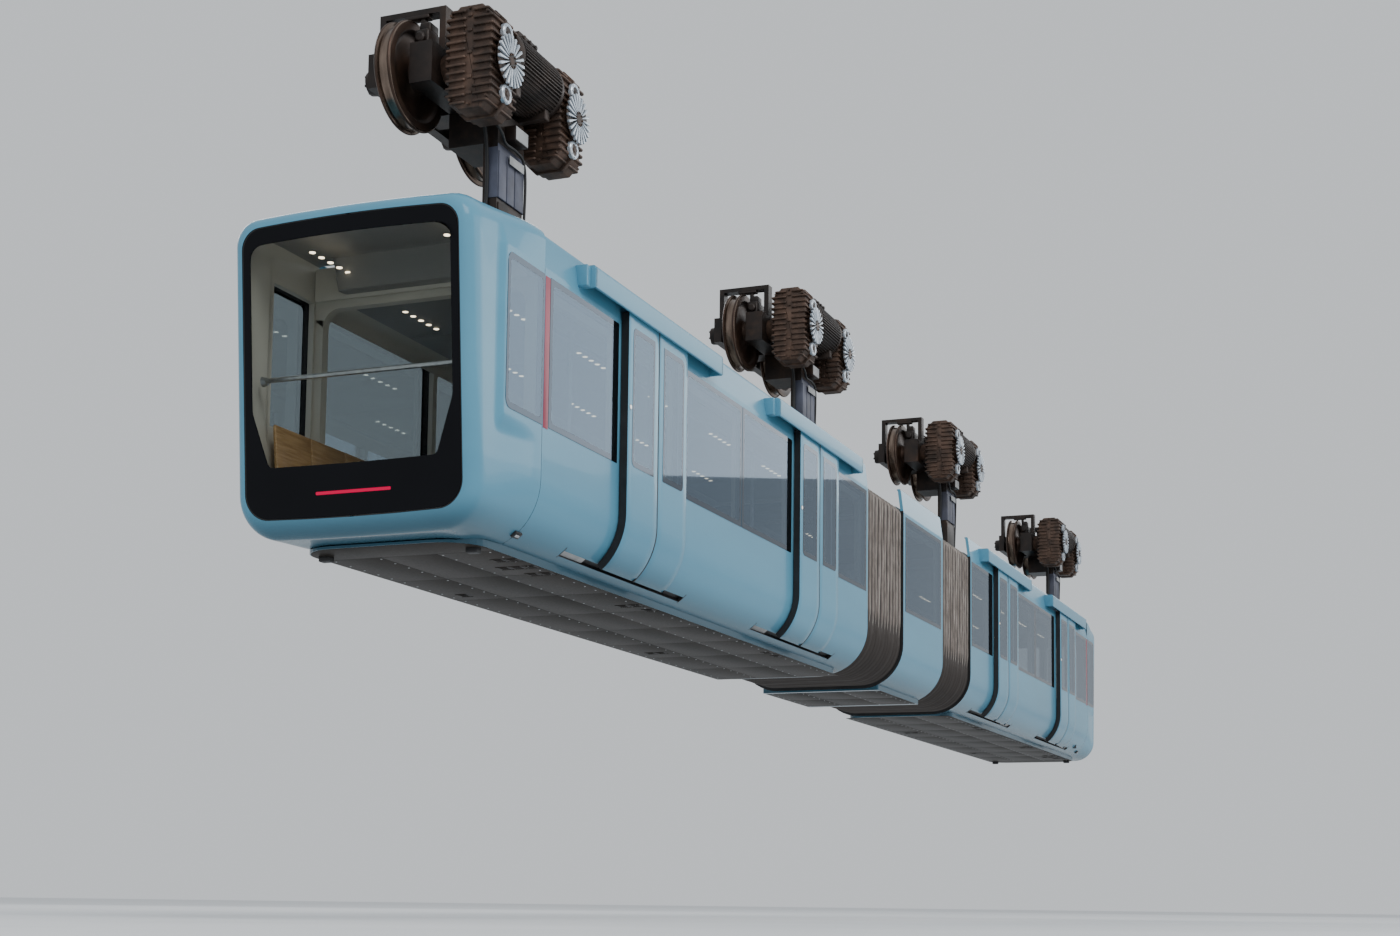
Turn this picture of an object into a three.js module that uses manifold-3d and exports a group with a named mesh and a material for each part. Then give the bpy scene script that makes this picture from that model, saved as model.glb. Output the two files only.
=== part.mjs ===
// A suspended articulated monorail car, in millimetres.
// X points to the door side, Y along the car from the lounge end to the cab end, Z up.
// Z = 0 is the top of the rail, X = 0 the middle of the rail, Y = 0 the middle of the car.
import * as THREE from "three";
import { mergeVertices } from "three/addons/utils/BufferGeometryUtils.js";
import Module from "manifold-3d";

const wasm = await Module();
wasm.setup();

// Lengths along the car, measured from the lounge end.
const carLength = 24060;
const endModuleLength = 950;
const sectionLength = 9560;
const bellowsLength = 1520;
const doorCentres = [3060, 7535];
const bogieCentres = [1273, 8778];
const gap = 0.3;
const overshoot = 5;

// The body's cross-section.
const halfWidth = 1100;
const wall = 100;
const lowerRadius = 540;
const lowerCentreZ = -2875;
const floorZ = -3290;
const ceilingZ = -1250;
const deckZ = -1155;
const parapetFootZ = -1200;
const parapetTopZ = -900;
const parapetLean = 38;
const parapetThickness = 45;
const trayHalfWidth = 770;
const trayBottomZ = -3437;

// Windows, with a black carrier rail along their upper edge.
const windowBottomZ = -2450;
const windowTopZ = -1241;
const windowRebate = 25;
const paneThickness = 20;
const rebateDepth = paneThickness + 2;
const carrierHeight = 16;

// Doors: two outside-hung leaves a doorway, their rollers behind a header cover.
const leafWidth = 652;
const leafSeam = 8;
const leafThickness = 45;
const leafProud = 80;
const leafTopZ = -1130;
const leafFootAngle = 50;
const doorwayHalfWidth = 620;
const headerHalfLength = 1430;
const headerProud = 122;
const headerBottomZ = -1155;
const headerTopZ = -965;
const headerWall = 20;
const doorSillZ = floorZ + 20;
const doorHeadZ = -1205;
const slotHalfLength = 1285;

// Bogies.
const halfWheelbase = 610;
const wheelRadius = 400;
const flangeRadius = 438;
const axleZ = wheelRadius;
const axleRadius = 55;
const boreRadius = 62;
const kingpinRadius = 60;

// Shapes are joined and cut as closed solids.
function solid(geometry) {
  const bare = geometry.index ? geometry.toNonIndexed() : geometry.clone();
  bare.deleteAttribute("normal");
  bare.deleteAttribute("uv");
  const merged = mergeVertices(bare, 1e-3);
  return new wasm.Manifold(
    new wasm.Mesh({
      numProp: 3,
      vertProperties: merged.attributes.position.array,
      triVerts: new Uint32Array(merged.index.array),
    }),
  );
}

function geometryOf(shape) {
  const mesh = shape.getMesh();
  return new THREE.BufferGeometry()
    .setAttribute("position", new THREE.BufferAttribute(mesh.vertProperties, 3))
    .setIndex(new THREE.BufferAttribute(mesh.triVerts, 1));
}

const join = (first, ...others) => others.reduce((sum, part) => sum.add(part), first);
const cut = (first, ...others) => others.reduce((rest, part) => rest.subtract(part), first);

function box(x0, x1, y0, y1, z0, z1) {
  const geometry = new THREE.BoxGeometry(x1 - x0, y1 - y0, z1 - z0);
  return solid(geometry.translate((x0 + x1) / 2, (y0 + y1) / 2, (z0 + z1) / 2));
}

const flat = (depth) => ({ depth, bevelEnabled: false, curveSegments: 4 });

// A shape drawn in X and Z, carried along Y.
function alongY(shape, y0, y1) {
  const geometry = new THREE.ExtrudeGeometry(shape, flat(y1 - y0));
  return solid(geometry.rotateX(Math.PI / 2).translate(0, y1, 0));
}

// A shape drawn in Y and Z, carried along X.
function alongX(shape, x0, x1) {
  const geometry = new THREE.ExtrudeGeometry(shape, flat(x1 - x0));
  const turn = new THREE.Matrix4().makeBasis(
    new THREE.Vector3(0, 1, 0),
    new THREE.Vector3(0, 0, 1),
    new THREE.Vector3(1, 0, 0),
  );
  return solid(geometry.applyMatrix4(turn).translate(x0, 0, 0));
}

// A shape drawn in X and Y, carried along Z.
function alongZ(shape, z0, z1) {
  return solid(new THREE.ExtrudeGeometry(shape, flat(z1 - z0)).translate(0, 0, z0));
}

function polygon(points) {
  return new THREE.Shape(points.map(([a, b]) => new THREE.Vector2(a, b)));
}

function roundedRectangle(a0, a1, b0, b1, r) {
  const shape = new THREE.Shape();
  shape.moveTo(a0 + r, b0);
  shape.lineTo(a1 - r, b0);
  shape.absarc(a1 - r, b0 + r, r, -Math.PI / 2, 0, false);
  shape.lineTo(a1, b1 - r);
  shape.absarc(a1 - r, b1 - r, r, 0, Math.PI / 2, false);
  shape.lineTo(a0 + r, b1);
  shape.absarc(a0 + r, b1 - r, r, Math.PI / 2, Math.PI, false);
  shape.lineTo(a0, b0 + r);
  shape.absarc(a0 + r, b0 + r, r, Math.PI, 1.5 * Math.PI, false);
  return shape;
}

function cylinder(radius, x, y, z, length, axis, sides = 24) {
  const geometry = new THREE.CylinderGeometry(radius, radius, length, sides);
  if (axis === "x") geometry.rotateZ(Math.PI / 2);
  if (axis === "z") geometry.rotateX(Math.PI / 2);
  return solid(geometry.translate(x, y, z));
}

// A lathe profile of [radius, x] pairs turned about an axis along X.
function turned(profile, sides) {
  const points = profile.map(([radius, x]) => new THREE.Vector2(radius, x));
  return solid(new THREE.LatheGeometry(points, sides).rotateZ(-Math.PI / 2));
}

// Rings of equal point counts, joined by a skin and closed at both ends.
function loft(rings) {
  const count = rings[0].length;
  const points = rings.flat();
  const faces = [];
  for (let ring = 0; ring < rings.length - 1; ring += 1) {
    for (let i = 0; i < count; i += 1) {
      const a = ring * count + i;
      const b = ring * count + ((i + 1) % count);
      faces.push(a, b, b + count, a, b + count, a + count);
    }
  }
  const outline = rings[0].map((p) => new THREE.Vector2(p.x, p.z));
  const last = (rings.length - 1) * count;
  for (const [a, b, c] of THREE.ShapeUtils.triangulateShape(outline, [])) {
    faces.push(a, c, b);
    faces.push(last + a, last + b, last + c);
  }
  const geometry = new THREE.BufferGeometry().setFromPoints(points);
  return solid(geometry.setIndex(faces));
}

const car = new THREE.Group();

function add(name, shape, material) {
  const mesh = new THREE.Mesh(geometryOf(shape), material());
  mesh.name = name;
  car.add(mesh);
}

function finish(color, roughness, metalness) {
  return () => new THREE.MeshStandardMaterial({ color, roughness, metalness });
}
const bluePaint = finish(0x8fb8cc, 0.25, 0);
const blackGlass = finish(0x14141e, 0.08, 0);
const trayPaint = finish(0x6f6b66, 0.6, 0);
const bellowsRubber = finish(0x7d746b, 0.8, 0);
const castIron = finish(0x3a2a22, 0.75, 0.4);
const gearboxIron = finish(0x5f4a3d, 0.7, 0.4);
const wheelSteel = finish(0x6a5548, 0.35, 0.9);
const seatShell = finish(0xb59a78, 0.5, 0);
const railSteel = finish(0xb8bcc0, 0.3, 0.9);
const cabPlastic = finish(0x3c4046, 0.6, 0);

// The two end sections are built at the lounge end, and turned into place at the cab end by "end":
// -1 is the lounge end, +1 the cab end. place() turns a distance from that end into a Y value.
const place = (end, distance) => end * (carLength / 2 - distance);
const span = (end, from, to) => [place(end, from), place(end, to)].sort((a, b) => a - b);

// An arc about the centre of the body's lower curve, on the side "sign", between two angles.
function lowerArc(sign, radius, from, to, steps) {
  const points = [];
  for (let i = 0; i <= steps; i += 1) {
    const angle = ((from + ((to - from) * i) / steps) * Math.PI) / 180;
    const x = halfWidth - lowerRadius + radius * Math.cos(angle);
    points.push([sign * x, lowerCentreZ + radius * Math.sin(angle)]);
  }
  return points;
}

function bodyOutline() {
  const right = [
    ...lowerArc(1, lowerRadius, -90, 0, 8),
    [halfWidth, parapetFootZ],
    [halfWidth - parapetLean, parapetTopZ],
    [halfWidth - parapetLean - parapetThickness, parapetTopZ],
    [halfWidth - parapetLean - parapetThickness, deckZ],
  ];
  const left = right.map(([x, z]) => [-x, z]).reverse();
  return [...right, ...left];
}

function cabinOutline(clearance = 0) {
  const radius = lowerRadius - wall;
  const foot = Math.asin((floorZ - lowerCentreZ) / radius) * (180 / Math.PI);
  const right = [
    ...lowerArc(1, radius - clearance, foot, 0, 4),
    [halfWidth - wall - clearance, ceilingZ - clearance],
  ];
  const left = right.map(([x, z]) => [-x, z]).reverse();
  return [...right, ...left];
}

function bodyTube(y0, y1) {
  const shape = polygon(bodyOutline());
  shape.holes.push(new THREE.Path(cabinOutline().map(([x, z]) => new THREE.Vector2(x, z))));
  return alongY(shape, y0, y1);
}

// A box on the side "sign" of the car, between two distances from the middle plane.
function sideBox(sign, from, to, y0, y1, z0, z1) {
  const [x0, x1] = [sign * from, sign * to].sort((a, b) => a - b);
  return box(x0, x1, y0, y1, z0, z1);
}

// One window: a hole through the wall and a rebate outside it for the pane.
function windowCutters(sign, y0, y1) {
  const [past, rebateX] = [halfWidth + overshoot, halfWidth - rebateDepth];
  const [s0, s1] = [y0 - windowRebate, y1 + windowRebate];
  const [h0, h1] = [windowBottomZ + windowRebate, windowTopZ - windowRebate];
  const hole = sideBox(sign, halfWidth - wall - overshoot, past, y0, y1, h0, h1);
  return [hole, sideBox(sign, rebateX, past, s0, s1, windowBottomZ, windowTopZ)];
}

// The panes of one side hang from one carrier rail above them, like the teeth of a comb.
function windowBand(sign, windows, railFrom, railTo) {
  const railTop = windowTopZ + carrierHeight - gap;
  const outline = [[railFrom, railTop], [railFrom, windowTopZ]];
  for (const [y0, y1] of [...windows].sort((a, b) => a[0] - b[0])) {
    const [from, to] = [y0 - windowRebate + gap, y1 + windowRebate - gap];
    const foot = windowBottomZ + gap;
    outline.push([from, windowTopZ], [from, foot], [to, foot], [to, windowTopZ]);
  }
  outline.push([railTo, windowTopZ], [railTo, railTop]);
  const inner = sign > 0 ? halfWidth - 1 - paneThickness : 1 - halfWidth;
  return alongX(polygon(outline), inner, inner + paneThickness);
}

function carrierGroove(sign, y0, y1) {
  const [x0, x1] = [halfWidth - rebateDepth, halfWidth + overshoot];
  return sideBox(sign, x0, x1, y0 - gap, y1 + gap, windowTopZ - 1, windowTopZ + carrierHeight);
}

// Windows of an end section, by their distance from the end: from, to (hole edges). The first one
// is in the end module, and its pane hangs from the same carrier rail.
const carrier = { from: 330, to: 9515 };
const moduleWindow = { from: 351, to: 925 };
const doorSideWindows = [
  [1075, 2335],
  [3880, 5305],
  [5365, 6790],
  [8280, 9470],
];
const plainSideWindows = [
  [1075, 2900],
  [2970, 4800],
  [4870, 6700],
  [6770, 9470],
];

const leafSpan = leafSeam / 2 + leafWidth;

function doorCutter(centre) {
  const [x0, x1] = [halfWidth - wall - overshoot, halfWidth + overshoot];
  const [y0, y1] = [centre - doorwayHalfWidth, centre + doorwayHalfWidth];
  return box(x0, x1, y0, y1, doorSillZ, doorHeadZ);
}

// The header is an outer wall, a top and two ends, open below for the leaves' upper edges.
function doorHeader(centre) {
  const [y0, y1] = [centre - headerHalfLength, centre + headerHalfLength];
  const inner = halfWidth - 30;
  const outer = halfWidth + headerProud;
  const block = box(inner, outer, y0, y1, headerBottomZ, headerTopZ);
  const hollow = box(
    inner - overshoot,
    outer - headerWall,
    y0 + headerWall,
    y1 - headerWall,
    headerBottomZ - overshoot,
    headerTopZ - headerWall,
  );
  return cut(block, hollow);
}

// A long slot in the lower curve, in which the leaves' feet run.
function slotCutter(centre) {
  const outline = [
    ...lowerArc(1, lowerRadius + 30, -leafFootAngle - 7, -leafFootAngle + 0.5, 2),
    ...lowerArc(1, lowerRadius - 45, -leafFootAngle + 0.5, -leafFootAngle - 7, 2),
  ];
  return alongY(polygon(outline), centre - slotHalfLength, centre + slotHalfLength);
}

function kingpinHole(y) {
  return cylinder(kingpinRadius + 6, 0, y, deckZ - 30, 80, "z", 14);
}

function endSectionShell(end) {
  let shell = bodyTube(...span(end, endModuleLength + gap, sectionLength));
  const [railFrom, railTo] = span(end, carrier.from, carrier.to);
  for (const [sign, windows] of [
    [1, doorSideWindows],
    [-1, plainSideWindows],
  ]) {
    for (const [from, to] of windows) {
      shell = cut(shell, ...windowCutters(sign, ...span(end, from, to)));
    }
    shell = cut(shell, carrierGroove(sign, railFrom, railTo));
  }
  for (const distance of doorCentres) {
    const y = place(end, distance);
    shell = cut(join(shell, doorHeader(y)), doorCutter(y), slotCutter(y));
  }
  for (const distance of bogieCentres) shell = cut(shell, kingpinHole(place(end, distance)));
  return shell;
}

// The shell is built from two panels, which meet along the floor and the roof near the door side.
const panelJointX = 800;

function besideJoint(shell, side) {
  const [near, far] = [panelJointX - (side * gap) / 2, 2 * halfWidth * side];
  const [x0, x1] = [near, far].sort((a, b) => a - b);
  return cut(shell, box(x0, x1, -carLength, carLength, 2 * trayBottomZ, 0));
}

function windowBandOf(end, sign, windows) {
  const spans = [[moduleWindow.from, moduleWindow.to], ...windows].map(([a, b]) => span(end, a, b));
  return windowBand(sign, spans, ...span(end, carrier.from, carrier.to));
}

// The tray fills the space between the body's lower curve and its own flat bottom.
function tray(y0, y1, cornerRadius) {
  const reach = (trayHalfWidth - halfWidth + lowerRadius) / (lowerRadius + 1);
  const edge = Math.acos(reach) * (180 / Math.PI);
  const right = lowerArc(1, lowerRadius + 1, -edge, -90, 4);
  const left = right.map(([x, z]) => [-x, z]).reverse();
  const section = polygon([
    [-trayHalfWidth, trayBottomZ],
    [trayHalfWidth, trayBottomZ],
    ...right,
    ...left,
  ]);
  const plan = roundedRectangle(-trayHalfWidth, trayHalfWidth, y0, y1, cornerRadius);
  return alongY(section, y0, y1).intersect(alongZ(plan, trayBottomZ - 5, lowerCentreZ));
}

// The end face leans: its top stands further out than its bottom.
const faceBottomZ = -3284;
const faceTopZ = -1012;
const faceLean = 0.081;
const faceHalfWidth = 932;
const glassBottomZ = -3255;
const glassInset = { from: 8, to: 26 };
const cornerSteps = 4;

// A rounded outline with its own top and bottom corner radii, as X and Z pairs.
function endOutline(half, bottom, top, bottomRadius, topRadius) {
  const corners = [
    [half - bottomRadius, bottom + bottomRadius, bottomRadius, -90],
    [half - topRadius, top - topRadius, topRadius, 0],
    [-half + topRadius, top - topRadius, topRadius, 90],
    [-half + bottomRadius, bottom + bottomRadius, bottomRadius, 180],
  ];
  const points = [];
  for (const [x, z, radius, start] of corners) {
    for (let i = 0; i <= cornerSteps; i += 1) {
      const angle = ((start + (90 * i) / cornerSteps) * Math.PI) / 180;
      points.push([x + radius * Math.cos(angle), z + radius * Math.sin(angle)]);
    }
  }
  return points;
}

// Stations of the end module, from its face to its joint: inset from the face, how much of the
// face's lean is left, half width, bottom, top, bottom and top corner radii.
const moduleStations = [
  { inset: 0, lean: 1, half: 950, bottom: -3305, top: -1000, low: 215, high: 165 },
  { inset: 45, lean: 1, half: 1015, bottom: -3360, top: -945, low: 270, high: 185 },
  { inset: 130, lean: 0.85, half: 1052, bottom: -3398, top: -895, low: 320, high: 185 },
  { inset: 330, lean: 0.5, half: 1080, bottom: -3414, top: -868, low: 420, high: 160 },
  { inset: endModuleLength, lean: 0, half: halfWidth, bottom: -3415, top: -855, low: 540, high: 120 },
];
const moduleCabin = [
  { inset: -60, lean: 1, half: 880, bottom: -3225, top: -1065, low: 160, high: 110 },
  { inset: 990, lean: 0, half: 1000, bottom: floorZ, top: ceilingZ, low: 380, high: 20 },
];

// Rings run from the +Y end to the -Y end, and each is counter-clockwise seen from -Y.
function leaningLoft(end, stations) {
  const rings = stations.map(({ inset, lean, half, bottom, top, low, high }) =>
    endOutline(half, bottom, top, low, high).map(([x, z]) => {
      const y = carLength / 2 - inset + lean * faceLean * (z - faceBottomZ);
      return new THREE.Vector3(x, end * y, z);
    }),
  );
  return loft(end > 0 ? rings : rings.reverse());
}

// A plate in the plane of the leaning face, between two insets.
function facePlate(end, grow, from, to) {
  const common = {
    lean: 1,
    half: faceHalfWidth + grow,
    bottom: glassBottomZ - grow,
    top: faceTopZ + grow,
    low: 200 + grow,
    high: 150 + grow,
  };
  return leaningLoft(end, [
    { inset: from, ...common },
    { inset: to, ...common },
  ]);
}

// The side window of the end module stands on a low plateau, flush with the windows behind it.
const plateau = { from: 290, bottomZ: -2560, topZ: -1150, radius: 110 };

function moduleOutside(end, grow = 0) {
  const grown = moduleStations.map((station) => ({
    ...station,
    half: station.half + grow,
    bottom: station.bottom - grow,
  }));
  return leaningLoft(end, grown);
}

function endTray(end) {
  return cut(tray(...span(end, 390, sectionLength - 15), 330), moduleOutside(end, 2 * gap));
}

function endModule(end) {
  let shell = moduleOutside(end);
  const [p0, p1] = span(end, plateau.from, endModuleLength);
  const raised = roundedRectangle(p0, p1, plateau.bottomZ, plateau.topZ, plateau.radius);
  shell = join(shell, alongX(raised, -halfWidth, halfWidth));
  shell = cut(shell, leaningLoft(end, moduleCabin), facePlate(end, gap, -80, glassInset.to + gap));
  const [y0, y1] = span(end, moduleWindow.from, moduleWindow.to);
  const [g0, g1] = span(end, carrier.from - overshoot, endModuleLength + overshoot);
  const [x0, x1] = [halfWidth - rebateDepth, halfWidth + overshoot];
  for (const sign of [1, -1]) {
    const rebate = sideBox(sign, x0, x1, g0, g1, windowBottomZ, windowTopZ + carrierHeight);
    shell = cut(shell, rebate);
  }
  const [z0, z1] = [windowBottomZ + windowRebate, windowTopZ - windowRebate];
  return cut(shell, box(-x1, x1, y0, y1, z0, z1), hangerRecess(end));
}

// The roof is sunk where the nearest hanger's foot swings over it.
const recess = { from: 790, half: 720, z0: -1125, z1: -800 };

function hangerRecess(end) {
  const [y0, y1] = span(end, recess.from, endModuleLength + overshoot);
  return box(-recess.half, recess.half, y0, y1, recess.z0, recess.z1);
}

// Seats stand out from a plinth on the wall. Benches run along the car, units across it.
const plinth = { depth: 55, bottom: floorZ + 180, top: floorZ + 430 };
const seatPan = { bottom: floorZ + 400, top: floorZ + 465 };
const seatBackTop = floorZ + 960;
const benchBackTop = floorZ + 840;
const seatWallX = 925;
const seatBackX = seatWallX - 30;

function bench(sign, y0, y1) {
  const pan = sideBox(sign, seatWallX - 470, seatBackX, y0, y1, seatPan.bottom, seatPan.top);
  const back = sideBox(sign, seatWallX - 75, seatBackX + 10, y0, y1, seatPan.bottom, benchBackTop);
  return join(pan, back);
}

// A transverse seat for two.
const unitWidth = 820;

function seatUnit(sign, y, facing) {
  const [p0, p1] = [y, y + facing * 430].sort((a, b) => a - b);
  const [b0, b1] = [y, y + facing * 55].sort((a, b) => a - b);
  const aisleX = seatBackX - unitWidth;
  const pan = sideBox(sign, aisleX, seatBackX, p0, p1, seatPan.bottom, seatPan.top);
  const back = sideBox(sign, aisleX, seatBackX, b0, b1, seatPan.bottom, seatBackTop);
  return join(pan, back);
}

function seatRow(sign, y0, y1, seats) {
  const base = sideBox(sign, seatWallX - plinth.depth, seatWallX, y0, y1, plinth.bottom, plinth.top);
  return join(base, ...seats);
}

// Seats by their distance from the end of the car. facing +1 looks away from that end.
const unitsPlainSide = [
  { at: 2650, facing: 1 },
  { at: 4350, facing: -1 },
  { at: 4420, facing: 1 },
  { at: 6120, facing: -1 },
  { at: 6190, facing: 1 },
  { at: 7890, facing: -1 },
  { at: 7960, facing: 1 },
];
const benchDoorSide = { from: 4050, to: 6550 };
const seatRowTo = 9300;

function plainSideSeats(end, loungeFrom, loungeTo) {
  const seats = unitsPlainSide.map(({ at, facing }) => seatUnit(-1, place(end, at), -end * facing));
  seats.push(bench(-1, ...span(end, loungeFrom, loungeTo)));
  const rowFrom = Math.max(loungeFrom, endModuleLength + 20);
  return seatRow(-1, ...span(end, rowFrom, seatRowTo), seats);
}

function doorSideSeats(end) {
  const { from, to } = benchDoorSide;
  const seat = bench(1, ...span(end, from, to));
  return seatRow(1, ...span(end, from - 100, to + 100), [seat]);
}

// Handrails: a long tube under the ceiling, with posts beside the doorways.
const tubeRadius = 17;
const railX = 640;
const railZ = ceilingZ - 90;
const handrail = { from: 1700, to: 9200 };
const postDistances = [2380, 3740, 6860, 8210];

function handrails(end) {
  const [y0, y1] = span(end, handrail.from, handrail.to);
  const posts = postDistances.map((at) => {
    const y = place(end, at);
    const height = ceilingZ - floorZ - 2;
    return cylinder(tubeRadius, railX, y, (ceilingZ + floorZ) / 2, height, "z", 10);
  });
  const tube = cylinder(tubeRadius, railX, (y0 + y1) / 2, railZ, y1 - y0, "y", 10);
  return join(tube, ...posts);
}

const windowBar = { distance: 150, z: -2155, halfLength: 878 };

function barBehindWindow(end) {
  const lean = faceLean * (windowBar.z - faceBottomZ);
  const y = end * (carLength / 2 - windowBar.distance + lean);
  return cylinder(tubeRadius + 2, 0, y, windowBar.z, 2 * windowBar.halfLength, "x", 12);
}

// The cab at the front end.
function cabPartition(end) {
  const [y0, y1] = span(end, 1400, 1440);
  const wallPlate = alongY(polygon(cabinOutline(2)), y0, y1);
  const doorway = box(-330, 330, y0 - 5, y1 + 5, floorZ - 5, ceilingZ - 180);
  const pane = box(450, 900, y0 - 5, y1 + 5, floorZ + 900, ceilingZ - 180);
  return cut(wallPlate, doorway, pane);
}

function driverDesk(end) {
  const [y0, y1] = span(end, 200, 640);
  const top = box(-780, 780, y0, y1, -2560, -2480);
  const column = box(-560, 560, ...span(end, 260, 560), floorZ + 75, -2555);
  return join(top, column);
}

function driverSeat(end) {
  const column = cylinder(70, 0, place(end, 1000), floorZ + 214, 400, "z", 16);
  const pan = box(-250, 250, ...span(end, 770, 1230), floorZ + 410, floorZ + 520);
  const back = box(-240, 240, ...span(end, 1170, 1260), floorZ + 500, floorZ + 1180);
  return join(column, pan, back);
}

// A sliding door leaf: a bent panel that follows the body's lower curve, with its window cut.
const leafWindow = { inset: 92, bottomZ: -2440, topZ: -1245, radius: 55 };

function doorLeaf(y0, y1) {
  const outer = lowerRadius + leafProud;
  const outline = [
    ...lowerArc(1, outer, -leafFootAngle, 0, 7),
    [halfWidth + leafProud, leafTopZ],
    [halfWidth + leafProud - leafThickness, leafTopZ],
    ...lowerArc(1, outer - leafThickness, 0, -leafFootAngle, 7),
  ];
  const { inset, bottomZ, topZ, radius } = leafWindow;
  const hole = roundedRectangle(y0 + inset, y1 - inset, bottomZ, topZ, radius);
  return cut(alongY(polygon(outline), y0, y1), alongX(hole, halfWidth, halfWidth + 2 * leafProud));
}

// Bellows: a tube between two sections, whose wall is as deep as the pleats.
const bellowsInset = 22;
const bellowsWall = 60;
const bellowsTopZ = -1140;
const bellowsClearance = 6;

function bellowsRing(offset) {
  const right = [
    ...lowerArc(1, lowerRadius - offset, -90, 0, 8),
    [halfWidth - offset, bellowsTopZ - 90],
    [halfWidth - offset - 40, bellowsTopZ - 15 - offset],
    [halfWidth - 180, bellowsTopZ - offset],
  ];
  return [...right, ...right.map(([x, z]) => [-x, z]).reverse()];
}

function bellows(y0, y1) {
  const shape = polygon(bellowsRing(bellowsInset));
  const inside = bellowsRing(bellowsInset + bellowsWall);
  shape.holes.push(new THREE.Path(inside.map(([x, z]) => new THREE.Vector2(x, z))));
  return alongY(shape, y0 + bellowsClearance, y1 - bellowsClearance);
}

// Bogie frame with its C-shaped hanger, which reaches past the rail on the door side and comes back
// under it to a kingpin on the roof. Beams: x0, x1, half length, z0, z1.
const innerBeam = { x0: 150, x1: 350, half: 870, z0: 230, z1: 560 };
const outerBeam = { x0: -250, x1: -160, half: 830, z0: 260, z1: 540 };
const hangerHalf = 222;
const hangerPost = { x0: 470, x1: 600 };
const hangerBox = { x1: 700, half: 110, z0: -15, z1: 105 };
const hangerFoot = { x0: -260, z0: -1090, z1: -900 };
const kingpinFlange = { radius: 235, z0: deckZ + 5 };
const kingpinDepth = 60;
const guard = { half: 60, z0: 880, z1: 925, post: 55 };

function axleBore(y, x0, x1) {
  return cylinder(boreRadius, (x0 + x1) / 2, y, axleZ, x1 - x0 + 2 * overshoot, "x", 14);
}

function beam({ x0, x1, half, z0, z1 }, y) {
  const body = box(x0, x1, y - half, y + half, z0, z1);
  return cut(body, ...[-1, 1].map((side) => axleBore(y + side * halfWheelbase, x0, x1)));
}

function wheelGuard(y) {
  const { half, z0, z1, post } = guard;
  const [y0, y1] = [y - half, y + half];
  return [
    box(outerBeam.x0, innerBeam.x1, y0, y1, z0, z1),
    box(outerBeam.x0, outerBeam.x0 + post, y0, y1, outerBeam.z1 - 5, z0 + 5),
    box(innerBeam.x1 - post, innerBeam.x1, y0, y1, innerBeam.z1 - 5, z0 + 5),
  ];
}

function hanger(y) {
  const [y0, y1] = [y - hangerHalf, y + hangerHalf];
  const { x0, x1 } = hangerPost;
  const flangeHeight = hangerFoot.z0 - kingpinFlange.z0 + 5;
  return [
    box(innerBeam.x0, x1, y0, y1, -60, 225),
    box(innerBeam.x0, innerBeam.x1, y0, y1, 220, innerBeam.z0 + 5),
    box(x0, x1, y0, y1, hangerFoot.z0, -55),
    box(hangerFoot.x0, x1, y0, y1, hangerFoot.z0, hangerFoot.z1),
    cylinder(kingpinFlange.radius, 0, y, kingpinFlange.z0 + flangeHeight / 2, flangeHeight, "z", 20),
    cylinder(kingpinRadius, 0, y, kingpinFlange.z0 - kingpinDepth / 2 + 5, kingpinDepth + 10, "z", 14),
    box(x1 - 5, hangerBox.x1, y - hangerBox.half, y + hangerBox.half, hangerBox.z0, hangerBox.z1),
  ];
}

function bogieFrame(y) {
  const bridge = box(outerBeam.x0 + 5, innerBeam.x0 + 5, y - 130, y + 130, 270, 530);
  const guards = [-1, 1].flatMap((side) => wheelGuard(y + side * halfWheelbase));
  return join(beam(innerBeam, y), beam(outerBeam, y), bridge, ...guards, ...hanger(y));
}

// Drive unit: a motor along the car between two gearboxes, outside the inner beam.
const gearbox = { x0: 440, x1: 860, from: 400, to: 830, z0: -30, z1: 830, chamfer: 90 };
const motor = { x: 640, z: 565, radius: 262 };
const sleeveRadius = 125;
const caps = [
  { x: 858, length: 26, dz: 230, radius: 80 },
  { x: 858, length: 26, dz: -262, radius: 78 },
];

function driveUnit(y) {
  const { x0, x1, from, to, z0, z1, chamfer } = gearbox;
  const parts = [cylinder(motor.radius, motor.x, y, motor.z, 2 * from + 20, "y", 20)];
  for (const side of [-1, 1]) {
    const axleY = y + side * halfWheelbase;
    const outline = [
      [from, z0 + chamfer + 60],
      [from + chamfer, z0],
      [to - chamfer, z0],
      [to, z0 + chamfer],
      [to, z1 - chamfer],
      [to - chamfer, z1],
      [from + chamfer, z1],
      [from, z1 - chamfer],
    ].map(([along, z]) => [y + side * along, z]);
    if (side < 0) outline.reverse();
    const housing = alongX(polygon(outline), x0, x1);
    const sleeveFrom = innerBeam.x1 + gap;
    const sleeveLength = x0 - sleeveFrom + overshoot;
    const sleeveX = sleeveFrom + sleeveLength / 2;
    const sleeve = cylinder(sleeveRadius, sleeveX, axleY, axleZ, sleeveLength, "x", 14);
    const lids = caps.map(({ x, length, dz, radius }) =>
      cylinder(radius, x + length / 2, axleY, axleZ + dz, length, "x", 12),
    );
    parts.push(cut(join(housing, sleeve, ...lids), axleBore(axleY, innerBeam.x1, x1)));
  }
  return join(...parts);
}

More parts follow.
